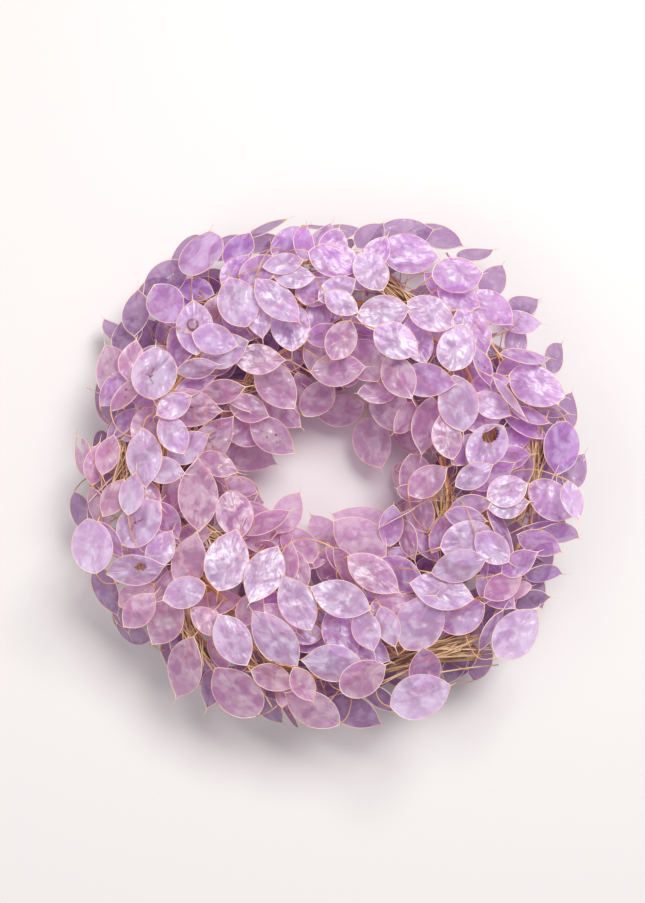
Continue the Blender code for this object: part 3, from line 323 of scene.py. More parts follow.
@dataclass(frozen=True)
class WireFinish(Finish):
    """Drawn wire, bare or lacquered: drawing leaves fine lines along it, so its glints are stretched."""

    main: str
    worn: str
    metallic: float
    roughness: float
    coat: float = 0.0
    line_mm: float = 0.3
    wear_mm: float = 6.0

    def surface(self, tree: NodeTree) -> Node:
        """Adds the wire's nodes.

        Args:
            tree: the material's tree.

        Returns:
            The shader.
        """
        along = add(tree, "Attribute", attribute_name="sheet").outputs["Vector"]
        laid = add(tree, "Mapping", {"Vector": along, "Scale": (0.08, 1.0, 1.0)})
        lines = add(tree, "TexNoise", {"Vector": laid, "Scale": 1 / self.line_mm, "Detail": 2.0})
        wear = add(tree, "TexNoise", {"Vector": along, "Scale": 1 / self.wear_mm, "Detail": 5.0, "Roughness": 0.7})
        rubbed = add(tree, "MapRange", {"Value": wear, "From Min": 0.55, "From Max": 0.68})
        colour = add(tree, "Mix", {"Factor": rubbed, "A": self.main, "B": self.worn}, data_type="RGBA")
        rough = add(tree, "MapRange", {
            "Value": lines, "To Min": self.roughness - 0.08, "To Max": self.roughness + 0.12})
        bump = add(tree, "Bump", {"Height": lines, "Strength": 0.3, "Distance": 0.04 * MM})
        return add(tree, "BsdfPrincipled", {
            "Base Color": colour, "Metallic": self.metallic, "Roughness": rough, "Coat Weight": self.coat,
            "Normal": bump})


@dataclass(frozen=True)
class PaperFinish(Finish):
    """Matt background paper: a faint tooth and no gloss."""

    main: str
    shade: str
    teeth_a_metre: float = 900.0

    def surface(self, tree: NodeTree) -> Node:
        """Adds the paper's nodes.

        Args:
            tree: the material's tree.

        Returns:
            The shader.
        """
        place = add(tree, "TexCoord").outputs["Object"]
        tooth = add(tree, "TexNoise", {"Vector": place, "Scale": self.teeth_a_metre, "Detail": 2.0})
        colour = add(tree, "Mix", {"Factor": tooth, "A": self.main, "B": self.shade}, data_type="RGBA")
        return add(tree, "BsdfPrincipled", {"Base Color": colour, "Roughness": 0.9, "Specular IOR Level": 0.2})


class Tone(Enum):
    """The film's tones over the wreath, each with its film: lilac, rose and mauve are dye; violet and dusk are
    darker copies painted as shade, pale a lighter copy painted as light.
    """

    LILAC = MembraneFinish("dyed_septum_film_lilac", "DAACDC", "F0E6FA", "D494E0", "ECCAEE")
    # Painted shade: a darker violet copy of the lilac film, for the lower pods
    VIOLET_PAINTED_SHADE = MembraneFinish("septum_film_violet_painted_shade", "D0A0DC", "E8DAF6", "C688E0", "E2BCEC")
    ROSE = MembraneFinish("dyed_septum_film_rose", "E4B8D8", "F8EAEC", "E0A0D2", "F2D0E8")
    MAUVE = MembraneFinish("dyed_septum_film_mauve", "DCB0D6", "F6E8EC", "DA9ACE", "EED0E6", clear_share=0.4)
    # Painted shade: a darker, greyer copy, for the lowest pods and the low outer ones
    DUSK_PAINTED_SHADE = MembraneFinish("septum_film_dusk_painted_shade", "B08CB4", "D8C0D8", "A87AB0", "CAAACC")
    # Painted light: a paler, whiter copy, for the highest pods
    PALE_PAINTED_LIGHT = MembraneFinish("septum_film_pale_painted_light", "E0C2E4", "F6F0FE", "DCB0E4", "F0DCF2", clear_share=0.3)


RIM = StalkFinish("dried_pod_rim_cream", "E6C2AA", "F4E0D4", "CE9660", roughness=0.45)
STEM = StalkFinish("dried_lunaria_stalk_golden", "C48E56", "E6C094", "8E6038", roughness=0.55)
STRAW = StalkFinish("cut_lunaria_stalk_tan", "C69C6E", "EED4B0", "5E3C26", roughness=0.62, streak_mm=1.6)
STEEL = WireFinish("drawn_galvanised_steel", "A7A9A8", "C9CBC9", 1.0, 0.38)
LACQUER = WireFinish("green_lacquered_wire", "2E5A38", "557A52", 0.2, 0.35, coat=0.5)
PAPER = PaperFinish("matt_background_paper", "DCD8D5", "D8D4D0")
# A spray's materials: one film for each tone, then rim and stalk
TONES = list(Tone)
RIM_PLACE, STALK_PLACE = len(TONES), len(TONES) + 1


class Slot(Enum):
    """Material slots, one for each kind of piece."""

    PODS = "pods"
    STALKS = "stalks"
    HOOP = "hoop"
    BINDING = "binding"


class Draft:
    """Collects shapes and makes one mesh of them, with the coordinates that the finishes read."""

    def __init__(self) -> None:
        """Starts empty."""
        self.points: list[np.ndarray] = []
        self.faces: list[np.ndarray] = []
        self.slots: list[np.ndarray] = []
        self.marks: dict[str, list[np.ndarray]] = {"sheet": [], "tone": [], "edge": [], "stain": []}
        self.count = 0

    def put(self, points: np.ndarray, faces: np.ndarray, slot: int, sheet: np.ndarray, tone: float = 0.0,
            edge: np.ndarray | float = 0.0, stain: np.ndarray | float = 0.0) -> None:
        """Adds one shape.

        Args:
            points: its vertices in millimetres.
            faces: rows of four vertex numbers; a triangle repeats its last one.
            slot: its material's place on the piece.
            sheet: the millimetre coordinates that its pattern is laid out in.
            tone: how deep the dye is, or how dark a stalk has aged.
            edge: how near each vertex is to the rim.
            stain: how brown each vertex is.
        """
        self.points.append(points)
        self.faces.append(faces + self.count)
        self.slots.append(np.full(len(faces), slot))
        self.marks["sheet"].append(sheet)
        for name, value in (("tone", tone), ("edge", edge), ("stain", stain)):
            self.marks[name].append(np.broadcast_to(np.asarray(value, dtype=float), len(points)))
        self.count += len(points)

    def tube(self, path: np.ndarray, radii: np.ndarray, sides: int, slot: int, seed: float = 0.0,
             flat: np.ndarray | None = None, flatness: float = 1.0, tone: float = 0.0) -> None:
        """Adds a round tube along a path, clear of the floor.

        Args:
            path: points in millimetres.
            radii: one radius for each point.
            sides: corners of a section.
            slot: material place.
            seed: shifts the pattern.
            flat: for a path that closes on itself, the direction square to it that its sections keep.
            flatness: width of a section along that direction, beside its width across.
            tone: how dark it has aged, 0 to 1.
        """
        count, closed = len(path), flat is not None
        path = np.column_stack((path[:, :2], np.maximum(path[:, 2], radii * 1.3)))
        ahead, back = np.roll(path, -1, axis=0) - path, path - np.roll(path, 1, axis=0)
        if not closed:
            ahead[-1], back[0] = back[-1], ahead[0]
        run = ahead / norm(ahead, axis=1)[:, None] + back / norm(back, axis=1)[:, None]
        run /= np.maximum(norm(run, axis=1), 1e-9)[:, None]
        if closed:
            first = np.broadcast_to(flat, run.shape)
        else:
            side, sides_along = np.cross(run[0], (0.3, 0.5, 0.81)), []
            for direction in run:
                side = unit(side - direction * float(side @ direction))
                sides_along.append(side)
            first = np.array(sides_along)
        second = np.cross(run, first)
        turn = np.linspace(0.0, FULL_TURN, sides, endpoint=False)
        ring = (first[:, None] * np.cos(turn)[None, :, None] * flatness
                + second[:, None] * np.sin(turn)[None, :, None]) * radii[:, None, None]
        length = np.concatenate(([0.0], np.cumsum(norm(np.diff(path, axis=0), axis=1))))
        wide = np.repeat(radii, sides)
        sheet = np.stack((np.repeat(length, sides) + seed * 31.0, np.tile(np.cos(turn), count) * wide + seed * 7.0,
                          np.tile(np.sin(turn), count) * wide), axis=1)
        rows = np.arange(count if closed else count - 1)[:, None]
        here, there = rows * sides, (rows + 1) % count * sides
        one = np.arange(sides)[None]
        two = (one + 1) % sides
        faces = np.stack((here + one, here + two, there + two, there + one), axis=2).reshape(-1, 4)
        if not closed:
            last, corners = (count - 1) * sides, range(1, sides - 1)
            ends = [[0, corner + 1, corner, corner] for corner in corners]
            ends += [[last, last + corner, last + corner + 1, last + corner + 1] for corner in corners]
            faces = np.concatenate((faces, np.array(ends)))
        self.put((path[:, None] + ring).reshape(-1, 3), faces, slot, sheet, tone)

    def piece(self, name: str, looks: list[Material], node: str, slot: Slot) -> None:
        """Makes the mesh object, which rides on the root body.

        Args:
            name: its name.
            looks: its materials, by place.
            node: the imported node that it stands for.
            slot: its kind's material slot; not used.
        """
        mesh = bpy.data.meshes.new(name)
        rows = np.concatenate(self.faces).tolist()
        mesh.from_pydata((np.concatenate(self.points) * MM).tolist(), [],
                         [row if row[2] != row[3] else row[:3] for row in rows])
        for look in looks:
            mesh.materials.append(look)
        mesh.polygons.foreach_set("material_index", np.concatenate(self.slots).astype(np.int32))
        mesh.polygons.foreach_set("use_smooth", np.ones(len(mesh.polygons), dtype=bool))
        for label, values in self.marks.items():
            kind, part = ("FLOAT_VECTOR", "vector") if label == "sheet" else ("FLOAT", "value")
            mark = mesh.attributes.new(label, kind, "POINT")
            mark.data.foreach_set(part, np.concatenate(values).astype(np.float32).ravel())
        mesh.update()
        made = show(name, mesh)
        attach(made, "root")
        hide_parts(node)
        LOG.info("%s: %d triangles", name, sum(len(face.vertices) - 2 for face in mesh.polygons))


class Flaw(Enum):
    """Damage that single pods show."""

    NONE = "none"
    RING_STAIN = "brown ring of a fallen seed"
    SLIT = "slit along the film"
    WINDOW = "piece of film torn out near the tip"
    HOLE = "small hole"
    EMPTY = "rim without its film"
    SPLIT = "film split from the tip"
    SPECKS = "red-brown specks"
    CRACK = "dark crack with a side branch"


# Flaws, by where the photo shows them on the wreath at the reading height
FLAWS = (
    ((-77.0, 77.0), Flaw.RING_STAIN), ((-97.0, 114.0), Flaw.SLIT), ((97.0, 12.0), Flaw.WINDOW),
    ((-113.0, -64.0), Flaw.HOLE), ((103.0, 75.0), Flaw.EMPTY), ((-146.0, 4.0), Flaw.SPLIT),
    ((88.0, 65.0), Flaw.SPECKS), ((-32.0, 26.0), Flaw.SPECKS), ((-122.0, 33.0), Flaw.SPECKS),
    ((-104.0, 56.0), Flaw.CRACK), ((-85.0, 36.0), Flaw.CRACK), ((-117.0, -36.0), Flaw.CRACK),
    ((-56.0, 10.0), Flaw.CRACK),
)
# Along, across and radius of each speck on a pod
SPECKS = ((1.0, 2.0, 0.7), (4.5, -1.5, 0.5), (-3.0, -2.5, 0.6), (6.0, 2.8, 0.4))


@dataclass
class SeedPod:
    """One seed pod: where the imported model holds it, and the film, rim, hair and pedicel built there."""

    centre: np.ndarray
    axes: np.ndarray
    half_long: float
    half_wide: float
    taper: float
    pedicel: list[np.ndarray]
    number: int
    tone: Tone = Tone.LILAC
    flaw: Flaw = Flaw.NONE
    depth: float = 0.0
    swell: float = 1.04
    cusp: float = 0.24
    crowding: float = 0.22
    segments: int = 56
    rings: int = 9
    flawed_finer: int = 3
    rim_sides: int = 5
    rim_radius: float = 0.2
    rim_flatness: float = 1.25
    hair_radius: float = 0.2
    hair_long: Span = (3.5, 6.5)
    hair_points: int = 7
    pedicel_radius: float = 0.36
    pedicel_sides: int = 6
    pedicel_easing: int = 14

    def __post_init__(self) -> None:
        """Draws the pod's own shape: its cup, cusps, bumps, folds and puckers."""
        rng = np.random.default_rng(1000 + self.number)
        self.cup = rng.uniform(-0.8, 1.0)
        self.wave = rng.uniform(-0.5, 0.5, size=2)
        self.skew = rng.uniform(-0.02, 0.1)
        self.cusps = rng.uniform(0.05, 0.14), rng.uniform(0.02, 0.07)
        self.bumps = rng.uniform((-0.7, -0.6, 2.2, -0.6), (0.7, 0.6, 4.5, 0.6), size=(7, 4))
        self.folds = rng.uniform((0.0, 5.0, 0.0, 0.08), (math.pi, 9.0, 6.28, 0.2), size=(4, 4))
        self.puckers = (rng.integers(9, 15), rng.uniform(0.0, 6.28), rng.integers(17, 25), rng.uniform(0.0, 6.28))
        self.seed = rng.uniform(0.0, 40.0)
        self.hair = rng.uniform(*self.hair_long)
        self.sway = rng.uniform(-0.5, 0.5, size=2)
        self.depth += rng.uniform(0.0, 0.35)

    def turns(self, count: int) -> np.ndarray:
        """Angles round the pod, from 0 at its tip, closest together at tip and base."""
        even = np.linspace(0.0, FULL_TURN, count, endpoint=False)
        return even - self.crowding * np.sin(2 * even)

    def outline(self, turn: np.ndarray) -> np.ndarray:
        """Points on the rim's outline.

        Args:
            turn: angles round the pod, 0 at its tip.

        Returns:
            Rows of along and across, in millimetres.
        """
        off = np.abs((turn + math.pi) % FULL_TURN - math.pi)
        tip, base = (np.exp(-(gap / self.cusp) ** 2) * reach for gap, reach in zip((off, math.pi - off), self.cusps))
        along = (np.cos(turn) - self.skew * np.sin(turn) ** 2 + tip - base) * self.half_long * self.swell
        across = np.sign(np.sin(turn)) * np.abs(np.sin(turn)) ** (2 * self.taper) * self.half_wide * self.swell
        return np.stack((along, across), axis=-1)

    def lift(self, flat: np.ndarray, share: np.ndarray, turn: np.ndarray) -> np.ndarray:
        """Height of the film over its plane.

        Args:
            flat: rows of along and across.
            share: how far out each point lies, 0 to 1 at the rim.
            turn: angles round the pod.

        Returns:
            Heights in millimetres.
        """
        far, wide = flat[..., 0], flat[..., 1]
        x, y = far / self.half_long, wide / self.half_wide
        height = self.cup * (1 - share ** 2) + self.wave[0] * (x * x - 0.5) + self.wave[1] * x * y
        for along, across, width, rise in self.bumps:
            gap = (far - along * self.half_long) ** 2 + (wide - across * self.half_wide) ** 2
            height = height + rise * np.exp(-gap / width ** 2) * (1 - share ** 4)
        for heading, width, start, rise in self.folds:
            # A fold line wavers on its way over the film
            way = far * math.cos(heading) + wide * math.sin(heading)
            bent = way + 0.8 * np.sin(0.5 * far + start) + 0.6 * np.sin(0.6 * wide - start)
            height = height + rise * (1 - 2 * np.abs(np.sin(bent * math.pi / width + start))) * (1 - share ** 6)
        # Puckers pull the film towards the rim, and die out just before it
        broad, first, fine, second = self.puckers
        pull = np.clip((share - 0.35) / 0.5, 0, 1) * np.clip((1 - share) / 0.12, 0, 1)
        return height + pull * (0.16 * np.sin(broad * turn + first) + 0.09 * np.sin(fine * turn + second))

    def spots(self, flat: np.ndarray, share: np.ndarray, turn: np.ndarray) -> np.ndarray:
        """Places on the wreath, never below the floor.

        Args:
            flat: rows of along and across.
            share: how far out each point lies, 0 to 1 at the rim.
            turn: angles round the pod.

        Returns:
            Points in millimetres.
        """
        places = (self.centre + flat[..., :1] * self.axes[0] + flat[..., 1:2] * self.axes[1]
                  + self.lift(flat, share, turn)[..., None] * self.axes[2])
        places[..., 2] = np.maximum(places[..., 2], self.rim_radius)
        return places

    def end(self, turn: float) -> np.ndarray:
        """The rim's middle line at one angle, 0 for the tip and pi for the base."""
        turns = np.full(1, turn)
        return self.spots(self.outline(turns), np.ones(1), turns)[0]

    def clear_of(self, crowd: list["SeedPod"], heights: Span = (8.0, 66.0), radii: Span = (42.0, 148.0),
                 search: float = 34.0, room: float = 2.5) -> bool:
        """Whether this pod lies inside the wreath, clear of the other pods.

        Args:
            crowd: the other pods.
            heights: lowest and highest that its tip may be.
            radii: nearest and farthest from the wreath's middle that its tip may be.
            search: other pods farther away than this don't count.
            room: least height over another pod's plane.

        Returns:
            True if it does.
        """
        tip = self.centre + self.axes[0] * self.half_long * 1.3
        if not heights[0] < tip[2] < heights[1] or not radii[0] < math.hypot(tip[0], tip[1]) < radii[1]:
            return False
        reach = self.half_wide + 1.0
        for pod in crowd:
            if math.dist(pod.centre, self.centre) > search:
                continue
            for spot in (self.centre, tip):
                along, across, over = pod.axes @ (spot - pod.centre)
                beside = math.hypot(along / (pod.half_long + reach), across / (pod.half_wide + reach))
                if abs(over) < room and beside < 1:
                    return False
        return True

    def build(self, draft: Draft) -> None:
        """Builds the whole pod.

        Args:
            draft: the plant's mesh.
        """
        self.draft = draft
        if self.flaw is not Flaw.EMPTY:
            self.build_film()
        turn = self.turns(self.segments)
        path = self.spots(self.outline(turn), np.ones(self.segments), turn)
        # The rim is thicker where it meets pedicel and hair
        radii = self.rim_radius * (1 + 0.5 * np.abs(np.cos(turn)) ** 10)
        draft.tube(path, radii, self.rim_sides, RIM_PLACE, self.seed, self.axes[2], self.rim_flatness)
        self.build_hair()
        if self.pedicel:
            self.build_pedicel()

    def build_film(self) -> None:
        """Builds the film: rings of points from the middle out to the rim, finer where it has a flaw."""
        finer = 1 if self.flaw is Flaw.NONE else self.flawed_finer
        rings, segments = finer * self.rings, finer * self.segments
        share = np.sin(np.arange(1, rings + 1) / rings * math.pi / 2)
        turns, shares = np.meshgrid(self.turns(segments), share)
        flat = self.outline(turns) * shares[..., None]
        flat = np.concatenate((np.zeros((1, 2)), flat.reshape(-1, 2)))
        shares, turns = (np.concatenate(([0.0], values.ravel())) for values in (shares, turns))
        one = np.arange(segments)
        two = (one + 1) % segments
        faces = [np.stack((np.zeros(segments, dtype=int), 1 + one, 1 + two, 1 + two), axis=1)]
        for low in range(1, 1 + (rings - 1) * segments, segments):
            high = low + segments
            faces.append(np.stack((low + one, high + one, high + two, low + two), axis=1))
        faces = np.concatenate(faces)
        gone, stain = self.damage(flat)
        faces = faces[~gone[faces].any(axis=1)]
        sheet = np.column_stack((flat, np.full(len(flat), self.seed * 9.0)))
        places = self.spots(flat, shares, turns)
        self.draft.put(places, faces, TONES.index(self.tone), sheet, self.depth, shares, stain)

    def damage(self, flat: np.ndarray) -> tuple[np.ndarray, np.ndarray]:
        """Where the film is gone or brown. All sizes are millimetres from the pod's middle.

        Args:
            flat: rows of along and across.

        Returns:
            A mask of points that are gone, and how brown each point is.
        """
        x, y = flat[:, 0], flat[:, 1]
        ragged = 0.5 * np.sin(3.1 * x + 1.7 * y) + 0.4 * np.sin(5.3 * y - 2.2 * x)
        gone = np.zeros(len(flat), dtype=bool)
        stain = np.zeros(len(flat))
        if self.flaw is Flaw.RING_STAIN:
            seed = np.hypot(x - 2.0, y - 1.0)
            ring = np.abs(seed - 3.0 + 0.2 * ragged)
            stain = np.maximum(np.clip(1.5 - ring / 0.7, 0, 1), 0.35 * (seed + 0.3 * ragged < 2.4))
        elif self.flaw is Flaw.SLIT:
            gone = (np.abs(y - 0.1 * x + 0.4 * ragged) < 0.55) & (np.abs(x + 1.0) < 6.5)
        elif self.flaw is Flaw.WINDOW:
            gone = np.hypot((x - 7.0) / 5.5, (y - 3.0) / 4.2) + 0.12 * ragged < 1.0
        elif self.flaw is Flaw.HOLE:
            gone = np.hypot((x - 4.0) / 3.6, (y - 1.5) / 2.4) + 0.25 * ragged < 1.0
        elif self.flaw is Flaw.SPLIT:
            gone = (x > 1.0) & (np.abs(y + 0.2 * ragged) < (x - 1.0) * 0.28)
        elif self.flaw is Flaw.SPECKS:
            for along, across, size in SPECKS:
                stain = np.maximum(stain, np.clip(1.6 - np.hypot(x - along, y - across) / size, 0, 1))
        elif self.flaw is Flaw.CRACK:
            main = np.abs(y - 1.5 + 0.9 * np.sin(0.7 * x) + 0.3 * ragged) + 9.0 * (np.abs(x + 2.0) > 5.0)
            branch = np.abs(x + 1.0 + 0.7 * np.sin(y) + 0.3 * ragged) + 9.0 * (np.abs(y - 3.0) > 2.4)
            stain = np.clip(1.5 - np.minimum(main, branch) / 0.28, 0, 1)
        return gone, stain

    def build_hair(self) -> None:
        """Builds the hair-like style at the tip."""
        reach = np.linspace(-0.4, self.hair, self.hair_points)
        bend = (np.maximum(reach, 0) / self.hair) ** 2 * self.hair * 0.3
        path = (self.end(0.0) + reach[:, None] * self.axes[0] + (bend * self.sway[0])[:, None] * self.axes[1]
                + (bend * self.sway[1])[:, None] * self.axes[2])
        radii = self.hair_radius * np.linspace(1.6, 0.55, self.hair_points)
        self.draft.tube(path, radii, 4, RIM_PLACE, self.seed)

    def build_pedicel(self) -> None:
        """Builds the pedicel, from inside the pod's rim to the middle of its stem, thicker at both ends."""
        path = eased(smooth_path(np.array([self.end(math.pi), *self.pedicel[1:]]), 5), self.pedicel_easing)
        share = np.linspace(0.0, 1.0, len(path))
        radii = self.pedicel_radius * (0.85 + 0.35 * share ** 2)
        radii = radii * (1 + 0.5 * np.exp(-(share * 12) ** 2) + 0.7 * np.exp(-((1 - share) * 9) ** 2))
        self.draft.tube(path, radii, self.pedicel_sides, STALK_PLACE, self.seed)


@dataclass
class PlantReader:
    """Reads a plant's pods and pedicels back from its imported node."""

    node: str
    pod_thickness: float = 1.4
    pod_points: int = 8
    pedicel_radius: float = 0.65
    pedicel_sides: int = 4
    weld: float = 0.002

    def pods(self, first_number: int) -> list[SeedPod]:
        """The plant's pods, each with its pedicel's run.

        Args:
            first_number: number of the first pod.

        Returns:
            The pods, in an order that depends on their places only.
        """
        shape = bmesh.new()
        shape.from_mesh(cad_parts[self.node].data)
        bmesh.ops.remove_doubles(shape, verts=shape.verts, dist=self.weld * MM)
        self.places = np.array([vertex.co[:] for vertex in shape.verts]) / MM
        self.near = [{edge.other_vert(vertex).index for edge in vertex.link_edges} for vertex in shape.verts]
        shape.free()
        peaks = [index for index, others in enumerate(self.near) if len(others) >= self.pod_points - 1]
        found = []
        for place, one in enumerate(peaks):
            for two in peaks[place + 1:]:
                gap = float(norm(self.places[one] - self.places[two]))
                shared = len(self.near[one] & self.near[two])
                if abs(gap - self.pod_thickness) < 2 * self.weld and shared >= self.pod_points - 2:
                    found.append(self.pod(one, two))
        found.sort(key=lambda pod: tuple(np.round(pod.centre, 1)))
        return [replace(pod, number=first_number + place) for place, pod in enumerate(found)]

    def pod(self, one: int, two: int) -> SeedPod:
        """One pod, from the two middle vertices of its faces.

        Args:
            one: vertex number of one face's middle.
            two: vertex number of the other's.

        Returns:
            The pod, its face turned up.
        """
        if self.places[one][2] < self.places[two][2]:
            one, two = two, one
        centre = (self.places[one] + self.places[two]) / 2
        face = unit(self.places[one] - self.places[two])
        shared = self.near[one] & self.near[two]
        over, under = (next(iter(self.near[end] - shared)) for end in (one, two))
        base = (self.places[over] + self.places[under]) / 2
        axis = unit(centre - base)
        side = np.cross(face, axis)
        rim = np.array([self.places[index] for index in shared
                        if norm(self.places[index] - base) > 2 * self.pedicel_radius]) - centre
        half_long = float(norm(centre - base))
        half_wide = float(np.abs(rim @ side).max())
        # The outline's sharpness shows in its width at 45 degrees
        diagonal = np.abs(np.abs(rim @ axis) / half_long - math.sqrt(0.5)) < 0.05
        narrow = float(np.abs(rim[diagonal] @ side).mean()) / half_wide
        taper = math.log(narrow) / (2 * math.log(math.sqrt(0.5)))
        path = self.trace(over, under, base, {one, two} | shared)
        return SeedPod(centre, np.stack((axis, side, face)), half_long, half_wide, taper, path, 0)

    def trace(self, over: int, under: int, base: np.ndarray, passed: set[int]) -> list[np.ndarray]:
        """The pedicel's run from a pod's base to the middle of its stem.

        Args:
            over: one vertex of the pedicel's first section.
            under: the opposite one.
            base: that section's middle.
            passed: vertices of the pod.

        Returns:
            Points along the pedicel.
        """
        ring = {over, under} | {index for index in self.near[over] | self.near[under]
                                if norm(self.places[index] - base) < 1.1 * self.pedicel_radius}
        passed = passed | ring
        path = [base]
        while True:
            ring = set().union(*(self.near[index] for index in ring)) - passed
            if not ring:
                return path
            corners = self.places[sorted(ring)]
            path.append(corners.mean(axis=0))
            widest = norm(corners - path[-1], axis=1).max()
            if len(ring) != self.pedicel_sides or widest > 1.05 * self.pedicel_radius:
                path[-1] = path[-1] + unit(path[-1] - path[-2]) * self.pedicel_radius
                return path
            passed |= ring


@dataclass
class HoopLayout:
    """The hoop's circle and the strands of stalk laid round it, in millimetres and degrees."""

    radius: float = 103.0
    height: float = 41.0
    wire: float = 3.0
    strands: int = 6
    plants: int = 36
    strand_offset: float = 3.4
    first_lean: float = 30.0
    bound_steps: int = 4
    reach: tuple[float, ...] = (27.0, 22.0, 33.0, 31.0, 20.0, 26.0)

    def spot(self, angle: float, offset: float, lean: float) -> np.ndarray:
        """A point round the hoop.

        Args:
            angle: degrees round the wreath.
            offset: distance from the hoop.
            lean: degrees round the hoop's wire.

        Returns:
            The point in millimetres.
        """
        turn, lean = math.radians(angle), math.radians(lean)
        radius = self.radius + offset * math.cos(lean)
        return np.array((radius * math.cos(turn), radius * math.sin(turn), self.height + offset * math.sin(lean)))

    def stem(self, index: int) -> np.ndarray:
        """A plant's stem: bound along the hoop first, then free.

        Args:
            index: the plant's number, from 0.

        Returns:
            Its nine corner points.
        """
        strand = index % self.strands
        lean = 360.0 / self.strands * strand + self.first_lean
        step = 360.0 / self.plants
        leaves = index * step
        behind = range(self.bound_steps, -1, -1)
        bound = [self.spot(leaves - back * step, self.strand_offset, lean) for back in behind]
        reach = self.reach[strand]
        # How far round the wreath, how far off the hoop, and how far round its wire each free corner lies
        free = ((2.5, 12.0, 0.0), (12.0, 0.5 * (12.0 + reach), 6.0), (28.0, reach, -4.0), (45.0, reach + 3.0, 8.0))
        return np.array(bound + [self.spot(leaves + turn, offset, lean + tilt) for turn, offset, tilt in free])


@dataclass
class Spray:
    """One dried plant: its stem and twigs, and its pods on their pedicels."""

    index: int
    layout: HoopLayout
    looks: dict[object, Material]
    stalk_radius: float = 1.4
    stem_radius: float = 1.1
    tip_radius: float = 0.65
    knot: float = 0.3
    knot_long: float = 2.2
    step: float = 3.0
    sides: int = 8
    twigs: int = 12
    tries: int = 6
    twig_long: Span = (10.0, 27.0)
    twig_spread: float = 0.9
    twig_radii: Span = (0.34, 0.2)
    twig_bead: float = 1.5
    twig_heights: Span = (3.0, 86.0)
    twig_reach: float = 154.0
    late_half_long: Span = (7.0, 12.5)
    late_ratio: Span = (0.62, 0.8)
    late_taper: float = 0.55

    def __post_init__(self) -> None:
        """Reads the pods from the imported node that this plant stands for."""
        self.node = f"pod_spray_{self.index + 1:02d}"
        self.pods = PlantReader(self.node).pods(100 * self.index)
        self.rng = np.random.default_rng(300 + self.index)
        self.draft = Draft()

    def build(self, crowd: list[SeedPod]) -> None:
        """Builds the plant as one piece.

        Args:
            crowd: every pod so far, which new late ones keep clear of and join.
        """
        path = self.build_stem()
        self.build_twigs(path[len(path) // 2:], crowd)
        for pod in self.pods:
            pod.build(self.draft)
        looks = [self.looks[kind] for kind in (*TONES, RIM, STEM)]
        self.draft.piece(f"lunaria_spray_{self.index + 1:02d}", looks, self.node, Slot.PODS)

    def build_stem(self) -> np.ndarray:
        """Builds the stem, rounded at its bends, with a swelling at each pedicel.

        Returns:
            The stem's points.
        """
        corners = self.layout.stem(self.index)
        spaced = []
        for start, end in zip(corners[:-1], corners[1:]):
            count = max(2, round(float(norm(end - start)) / self.step))
            spaced.append(start + (end - start) * np.linspace(0.0, 1.0, count, endpoint=False)[:, None])
        path = eased(np.concatenate((*spaced, corners[-1:])), 3)
        share = np.linspace(0.0, 1.0, len(path))
        radii = np.interp(share, (0.0, 0.45, 1.0), (self.stalk_radius, self.stem_radius, self.tip_radius))
        for pod in self.pods:
            gaps = norm(path - pod.pedicel[-1], axis=1)
            radii = radii + self.knot * np.exp(-(gaps / self.knot_long) ** 2)
        radii = np.minimum(radii, self.stalk_radius + self.knot)
        self.draft.tube(path, radii, self.sides, STALK_PLACE, self.index)
        return path

    def build_twigs(self, path: np.ndarray, crowd: list[SeedPod]) -> None:
        """Builds the thin twigs along the free stem: some bare, some with a small late pod.

        Args:
            path: the free stem's points.
            crowd: every pod so far.
        """
        rng = self.rng
        low, high = self.twig_heights
        for start in path[rng.choice(len(path) - 1, self.twigs, replace=False)]:
            ring = np.array((start[0], start[1], 0.0))
            outward = unit(start - unit(ring) * self.layout.radius - UP * self.layout.height)
            for _ in range(self.tries):
                heading = unit(outward + rng.normal(size=3) * self.twig_spread)
                reach = rng.uniform(*self.twig_long)
                tip = start + heading * reach
                side = unit(np.cross(heading, rng.normal(size=3)))
                # The twig bows to one side, a little past half its way
                middle = start + heading * reach * 0.55 + side * reach * rng.uniform(0.04, 0.14)
                run = smooth_path(np.array((start, middle, tip)), 4)
                late = self.late_pod(tip, unit(tip - run[-3]))
                if clear := late.clear_of(crowd):
                    crowd.append(late)
                    self.pods.append(late)
                    break
            if not clear and (not low < tip[2] < high or math.hypot(tip[0], tip[1]) > self.twig_reach):
                continue
            radii = np.linspace(*self.twig_radii, len(run))
            radii[-1] *= self.twig_bead
            self.draft.tube(run, radii, 5, STALK_PLACE, rng.uniform(0, 40), tone=rng.uniform(0.0, 0.4))

    def late_pod(self, base: np.ndarray, axis: np.ndarray) -> SeedPod:
        """A small pod that set late, at the end of a twig.

        Args:
            base: the twig's end.
            axis: the twig's direction there.

        Returns:
            The pod, in the dye tone of its nearest neighbour on the plant.
        """
        half_long = self.rng.uniform(*self.late_half_long)
        side = unit(np.cross(axis, self.rng.normal(size=3)))
        centre = base + axis * half_long
        near = min(self.pods, key=lambda pod: float(norm(pod.centre - centre)))
        return SeedPod(
            centre, np.stack((axis, side, np.cross(axis, side))), half_long,
            half_long * self.rng.uniform(*self.late_ratio), self.late_taper, [], int(self.rng.integers(9000)),
            near.tone, segments=22, rings=4, rim_sides=4, hair_long=(2.0, 4.0))


